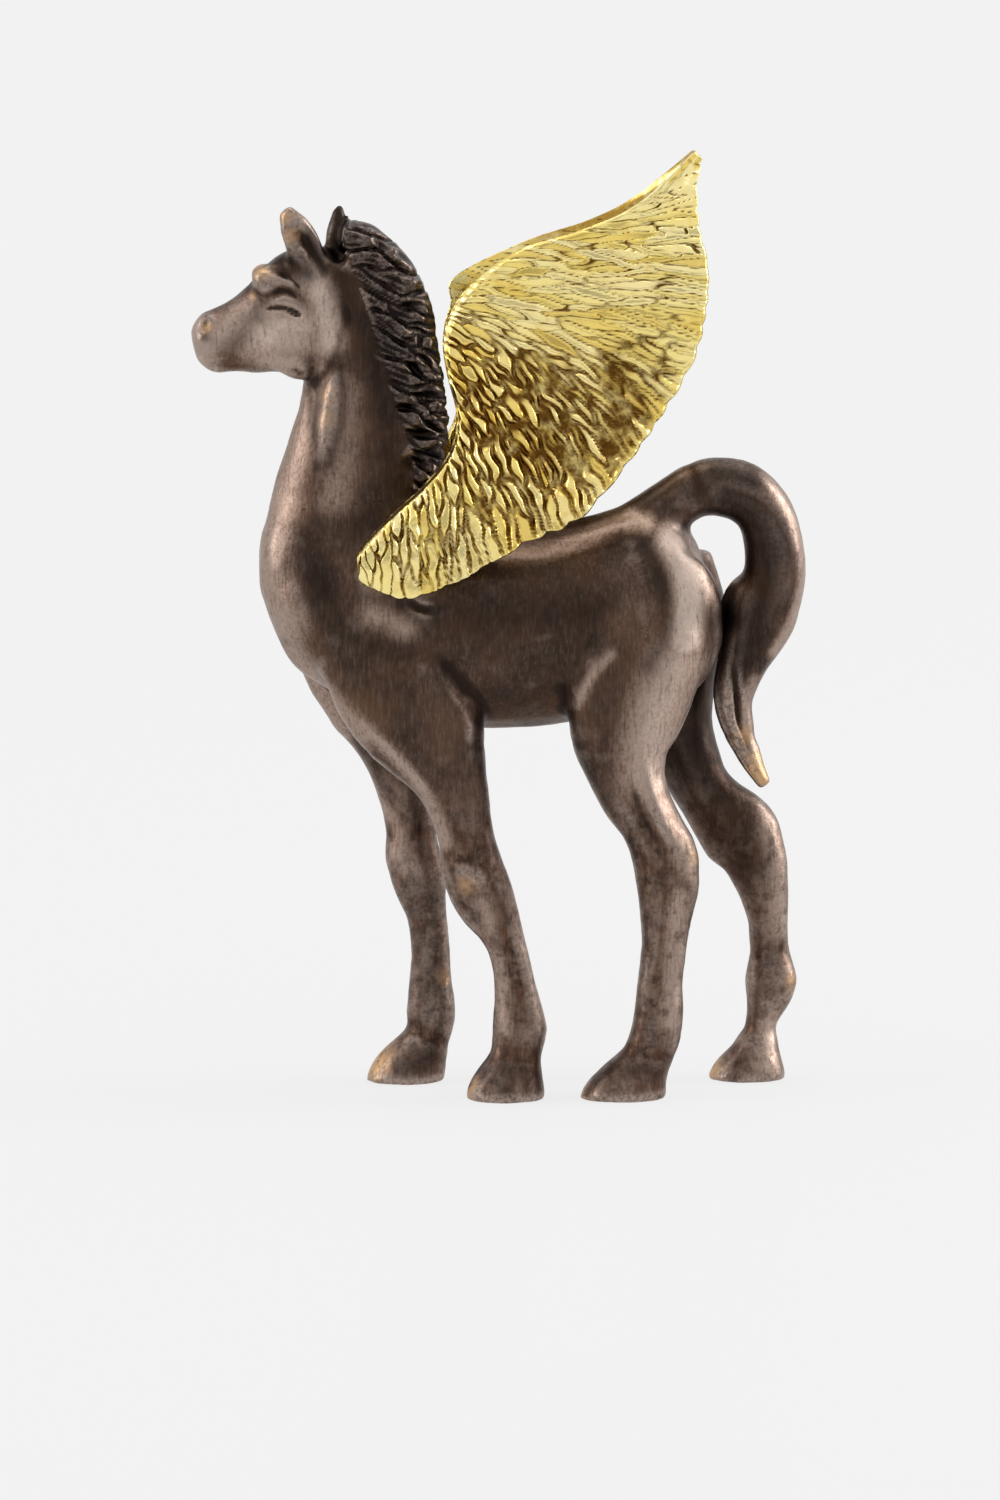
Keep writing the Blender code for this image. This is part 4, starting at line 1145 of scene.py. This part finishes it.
class Nodes:
    """Adds nodes to a tree and links them."""

    def __init__(self, tree):
        self.tree = tree

    def add(self, kind, inputs=None, **settings):
        """A new node; an input is given a number or colour, or is linked to a socket."""
        node = self.tree.nodes.new(kind)
        for name, value in settings.items():
            setattr(node, name, value)
        for name, value in (inputs or {}).items():
            if isinstance(value, bpy.types.NodeSocket):
                self.tree.links.new(value, node.inputs[name])
            else:
                node.inputs[name].default_value = value
        return node

    def noise(self, place, scale, detail=4.0, roughness=0.55):
        """Noise from 0 to 1."""
        return self.add(
            "ShaderNodeTexNoise", {"Vector": place, "Scale": scale, "Detail": detail, "Roughness": roughness}
        ).outputs["Fac"]

    def ramp(self, value, low, high, start=0.0, end=1.0):
        """The value moved from one range to another, and held at its ends."""
        return self.add(
            "ShaderNodeMapRange",
            {"Value": value, "From Min": low, "From Max": high, "To Min": start, "To Max": end},
        ).outputs["Result"]

    def math(self, operation, a, b):
        """Arithmetic on two numbers."""
        return self.add("ShaderNodeMath", {0: a, 1: b}, operation=operation).outputs[0]

    def times(self, a, b):
        """The product of two numbers."""
        return self.math("MULTIPLY", a, b)

    def choose(self, share, a, b):
        """A number between two others."""
        return self.add("ShaderNodeMix", {0: share, 2: a, 3: b}).outputs[0]

    def mix(self, share, a, b):
        """A colour between two others, each given as red, green and blue or by a socket."""
        a, b = ((*colour, 1.0) if isinstance(colour, tuple) else colour for colour in (a, b))
        return self.add("ShaderNodeMix", {0: share, 6: a, 7: b}, data_type="RGBA").outputs[2]

    def value(self, name):
        """A number that the mesh stores for each point."""
        return self.add("ShaderNodeAttribute", attribute_name=name).outputs["Fac"]

    def upright(self, place, squeeze):
        """The place squeezed in height, which draws a noise out upwards."""
        return self.add("ShaderNodeMapping", {"Vector": place, "Scale": (1.0, 1.0, squeeze)}).outputs[0]


def material(name):
    """A new material, the means to add nodes to it, and the place on the object."""
    made = bpy.data.materials.new(name)
    made.use_nodes = True
    nodes = Nodes(made.node_tree)
    return made, nodes, nodes.add("ShaderNodeTexCoord").outputs["Object"]


def finish_metal(made, nodes, colour, rough, height, strength, depth):
    """Links a metal's shader to its colour, its roughness and the height of its bump."""
    shader = made.node_tree.nodes["Principled BSDF"]
    shader.inputs["Metallic"].default_value = 1.0
    bump = nodes.add("ShaderNodeBump", {"Strength": strength, "Distance": depth, "Height": height})
    sockets = {"Base Color": colour, "Roughness": rough, "Normal": bump.outputs[0]}
    for name, socket in sockets.items():
        nodes.tree.links.new(socket, shader.inputs[name])
    return made


def bronze_finish():
    """Dark brown patina with a brushed grain, pale on what stands out, with painted highlights, painted
    shade and gold spots that are partly worn bronze and partly painted glints.
    """
    made, nodes, place = material("patinated_bronze")
    keys = ("wear", "cavity", "hair", "rub_and_highlight", "painted_shade", "glint", "leg")
    wear, cavity, hair, rub_and_highlight, painted_shade, glint, leg = (nodes.value(key) for key in keys)
    drawn = nodes.upright(place, 0.14)
    broad = nodes.noise(place, 110.0)
    spill = nodes.noise(place, 420.0, 5.0, 0.65)
    patch = nodes.noise(place, 800.0, 6.0, 0.62)
    blotch = nodes.noise(drawn, 900.0, 4.0, 0.6)
    speck = nodes.noise(place, 2200.0, 3.0, 0.6)
    grain = nodes.noise(drawn, 2800.0, 3.0, 0.7)

    colour = nodes.mix(nodes.ramp(patch, 0.35, 0.65), (0.046, 0.029, 0.022), (0.082, 0.054, 0.041))
    leg_colour = nodes.mix(nodes.ramp(blotch, 0.42, 0.58), (0.118, 0.056, 0.035), (0.195, 0.132, 0.101))
    # Painted highlights and patina rubbed pale, from the rub rows, broken up by specks and grain
    bare_and_highlight = nodes.times(rub_and_highlight, nodes.ramp(speck, 0.3, 0.6, 0.66, 1.0))
    bare_and_highlight = nodes.times(bare_and_highlight, nodes.ramp(grain, 0.35, 0.6, 0.68, 1.0))
    rubbed = nodes.times(nodes.ramp(wear, 0.32, 1.0), nodes.ramp(speck, 0.3, 0.6, 0.25, 1.0))
    stain = nodes.times(leg, nodes.ramp(spill, 0.5, 0.64, 0, 0.62))
    # Darker patina in the hollows, and painted shade from the shade rows
    dark = nodes.math("MAXIMUM", nodes.ramp(cavity, 0.15, 0.9, 0, 0.9), nodes.times(painted_shade, 0.8))
    black = nodes.math("SUBTRACT", nodes.ramp(hair, 0.0, 1.0, 0, 0.9), nodes.times(rubbed, 0.3))
    # Gold spots, partly worn bronze and partly painted glints
    gold = nodes.times(nodes.ramp(glint, 0.15, 0.75), nodes.ramp(patch, 0.34, 0.52))
    for share, layer in (
        (nodes.ramp(broad, 0.46, 0.66, 0, 0.7), (0.12, 0.062, 0.036)),
        (nodes.ramp(broad, 0.5, 0.36, 0, 0.55), (0.034, 0.022, 0.017)),
        (nodes.times(leg, nodes.ramp(patch, 0.42, 0.6)), leg_colour),
        # The next two layers are the painted highlights and the patina rubbed pale
        (nodes.ramp(bare_and_highlight, 0.0, 0.4), (0.2, 0.122, 0.086)),
        (nodes.ramp(bare_and_highlight, 0.12, 1.0), (0.62, 0.49, 0.415)),
        (rubbed, (0.38, 0.295, 0.25)),
        (stain, (0.052, 0.024, 0.015)),
        (nodes.ramp(grain, 0.5, 0.72, 0, 0.3), (0.24, 0.175, 0.145)),
        (nodes.ramp(grain, 0.46, 0.3, 0, 0.28), (0.03, 0.021, 0.017)),
        (dark, (0.022, 0.0145, 0.0115)),
        (nodes.ramp(black, 0.0, 1.0), (0.016, 0.012, 0.011)),
        (gold, (0.54, 0.335, 0.18)),
    ):
        colour = nodes.mix(share, colour, layer)

    rough = nodes.ramp(patch, 0.25, 0.75, 0.46, 0.36)
    for polished in (rubbed, hair):
        rough = nodes.math("SUBTRACT", rough, nodes.times(polished, 0.06))
    height = nodes.math("ADD", nodes.times(grain, 0.5), nodes.times(speck, 0.5))
    height = nodes.math("ADD", height, nodes.times(patch, nodes.ramp(leg, 0, 1, 0.6, 1.3)))
    return finish_metal(made, nodes, colour, rough, height, 0.5, 0.0001)


def gilt_finish():
    """Polished gilding, bright on the feathers' ridges, and brown in the grooves between them as painted
    shade.
    """
    made, nodes, place = material("polished_gilding")
    cavity, amber, tone = (nodes.value(key) for key in ("cavity", "amber", "tone"))
    broad = nodes.noise(place, 130.0)
    patch = nodes.noise(place, 600.0, 5.0, 0.6)
    fine = nodes.noise(place, 3200.0, 3.0, 0.6)
    colour = nodes.mix(nodes.ramp(broad, 0.35, 0.65), (0.96, 0.74, 0.19), (0.99, 0.83, 0.31))
    amber = nodes.times(amber, nodes.ramp(patch, 0.3, 0.6, 0.2, 0.85))
    amber = nodes.times(amber, nodes.ramp(cavity, 0.05, 0.4, 0.45, 1.0))
    # Painted shade: dark brown in the gaps between the feathers
    deep = nodes.times(nodes.ramp(cavity, 0.05, 0.75), nodes.ramp(patch, 0.3, 0.55, 0.4, 1.0))
    for share, layer in (
        (nodes.ramp(tone, 0.2, 1.0, 0, 0.5), (1.0, 0.91, 0.56)),
        (nodes.ramp(tone, 0.35, 0.0, 0, 0.55), (0.74, 0.5, 0.1)),
        (nodes.ramp(patch, 0.52, 0.78, 0, 0.6), (0.74, 0.48, 0.09)),
        (amber, (0.7, 0.43, 0.075)),
        (deep, (0.125, 0.055, 0.008)),
    ):
        colour = nodes.mix(share, colour, layer)
    rough = nodes.ramp(patch, 0.3, 0.7, 0.13, 0.28)
    height = nodes.math("ADD", nodes.times(fine, 0.4), patch)
    return finish_metal(made, nodes, colour, rough, height, 0.35, 0.00012)


def brass_finish():
    """Drawn brass of the pins, with scratches along them."""
    made, nodes, place = material("drawn_brass")
    scratch = nodes.noise(nodes.upright(place, 0.1), 3000.0, 3.0, 0.7)
    patch = nodes.noise(place, 500.0)
    colour = nodes.mix(nodes.ramp(patch, 0.35, 0.7), (0.62, 0.45, 0.18), (0.42, 0.28, 0.1))
    rough = nodes.ramp(scratch, 0.2, 0.8, 0.25, 0.5)
    return finish_metal(made, nodes, colour, rough, scratch, 0.3, 0.0001)


def floor():
    """A wide pale floor that keeps the object's shadow, and glows evenly far from it."""
    bm = bmesh.new()
    bmesh.ops.create_circle(bm, cap_ends=True, segments=FLOOR_SIDES, radius=FLOOR_RADIUS)
    mesh = bpy.data.meshes.new("floor")
    bm.to_mesh(mesh)
    bm.free()
    made = placed("floor", mesh)
    made.location.z = -FLOOR_DROP * MM
    finish, nodes, place = material("pale_floor")
    nodes.tree.nodes.remove(nodes.tree.nodes["Principled BSDF"])
    lit = nodes.add("ShaderNodeBsdfDiffuse", {"Color": FLOOR_GREY}).outputs[0]
    gloss = nodes.add("ShaderNodeBsdfGlossy", {"Color": GLOSS_GREY, "Roughness": GLOSS_ROUGHNESS}).outputs[0]
    lit = nodes.add("ShaderNodeMixShader", {0: FLOOR_GLOSS, 1: lit, 2: gloss}).outputs[0]
    forward = nodes.add("ShaderNodeSeparateXYZ", {"Vector": place}).outputs["Y"]
    away = nodes.add("ShaderNodeVectorMath", {0: place}, operation="LENGTH").outputs["Value"]
    path = nodes.add("ShaderNodeLightPath").outputs
    mirrored = nodes.ramp(forward, *STUDIO_FLOOR, STUDIO_FRONT, BACKGROUND)
    level = nodes.choose(path["Is Camera Ray"], mirrored, nodes.ramp(away, *GLOW_LEVEL))
    glow = nodes.add("ShaderNodeEmission", {"Strength": level}).outputs[0]
    seen = nodes.math("MAXIMUM", path["Is Camera Ray"], path["Is Glossy Ray"])
    seen = nodes.math("MAXIMUM", seen, path["Is Transmission Ray"])
    share = nodes.times(seen, nodes.ramp(away, *GLOW_SHARE))
    mixed = nodes.add("ShaderNodeMixShader", {0: share, 1: lit, 2: glow}).outputs[0]
    nodes.tree.links.new(mixed, nodes.tree.nodes["Material Output"].inputs["Surface"])
    mesh.materials.append(finish)


def surroundings():
    """A pale studio, dimmer low on the camera's side, which looks brighter than the light that it gives."""
    world = bpy.data.worlds.new("studio")
    bpy.context.scene.world = world
    world.use_nodes = True
    nodes = Nodes(world.node_tree)
    direction = nodes.add("ShaderNodeTexCoord").outputs["Generated"]
    parts = nodes.add("ShaderNodeSeparateXYZ", {"Vector": direction}).outputs
    path = nodes.add("ShaderNodeLightPath").outputs
    bright = nodes.math("MAXIMUM", nodes.ramp(parts["Y"], *STUDIO_BACK), nodes.ramp(parts["Z"], *STUDIO_UP))
    pale = nodes.ramp(bright, 0.0, 1.0, STUDIO_FRONT, BACKGROUND)
    level = nodes.choose(path["Is Glossy Ray"], nodes.times(pale, STUDIO_FILL), pale)
    level = nodes.choose(path["Is Camera Ray"], level, BACKGROUND)
    background = world.node_tree.nodes["Background"]
    world.node_tree.links.new(level, background.inputs["Strength"])
    background.inputs["Color"].default_value = (1, 1, 1, 1)


def softbox(name, place, size, power):
    """A large soft lamp."""
    lamp = bpy.data.lights.new(name, "AREA")
    lamp.shape = "RECTANGLE"
    lamp.size, lamp.size_y = size
    lamp.energy = power
    made = placed(name, lamp)
    made.location = place
    made.rotation_euler = (Vector(LAMP_AIM) - Vector(place)).to_track_quat("-Z", "Y").to_euler()


def camera():
    """The photograph's view of the object."""
    lens = bpy.data.cameras.new("camera")
    lens.sensor_width = SENSOR_WIDTH
    lens.lens = SENSOR_WIDTH * CAMERA_DISTANCE / FRAME_HEIGHT
    made = placed("camera", lens)
    turn, rise = math.radians(CAMERA_AZIMUTH), math.radians(CAMERA_ELEVATION)
    back = Vector((math.sin(turn) * math.cos(rise), -math.cos(turn) * math.cos(rise), math.sin(rise)))
    made.location = Vector(CAMERA_TARGET) + back * CAMERA_DISTANCE
    made.rotation_euler = (-back).to_track_quat("-Z", "Y").to_euler()
    bpy.context.scene.camera = made


def studio():
    """Floor, surroundings, lamps and camera."""
    floor()
    surroundings()
    for name, lamp in LAMPS.items():
        softbox(name, *lamp)
    camera()
    bpy.context.scene.view_settings.view_transform = "Standard"


for item in list(bpy.data.objects):
    bpy.data.objects.remove(item)
noise.seed_set(NOISE_SEED)
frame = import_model()
cad_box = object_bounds()
low, high = (np.array(corner) / MM for corner in cad_box)
bronze(bronze_finish(), low, high)
gilt = gilt_finish()
for wing_name, wing_side in (("left_wing", LEFT), ("right_wing", RIGHT)):
    wing(wing_name, wing_side, gilt, low, high)
brass = brass_finish()
for node_name, node in frame["nodes"].items():
    if "dowel" in node_name or "stud" in node_name:
        node.data.materials.clear()
        node.data.materials.append(brass)
studio()
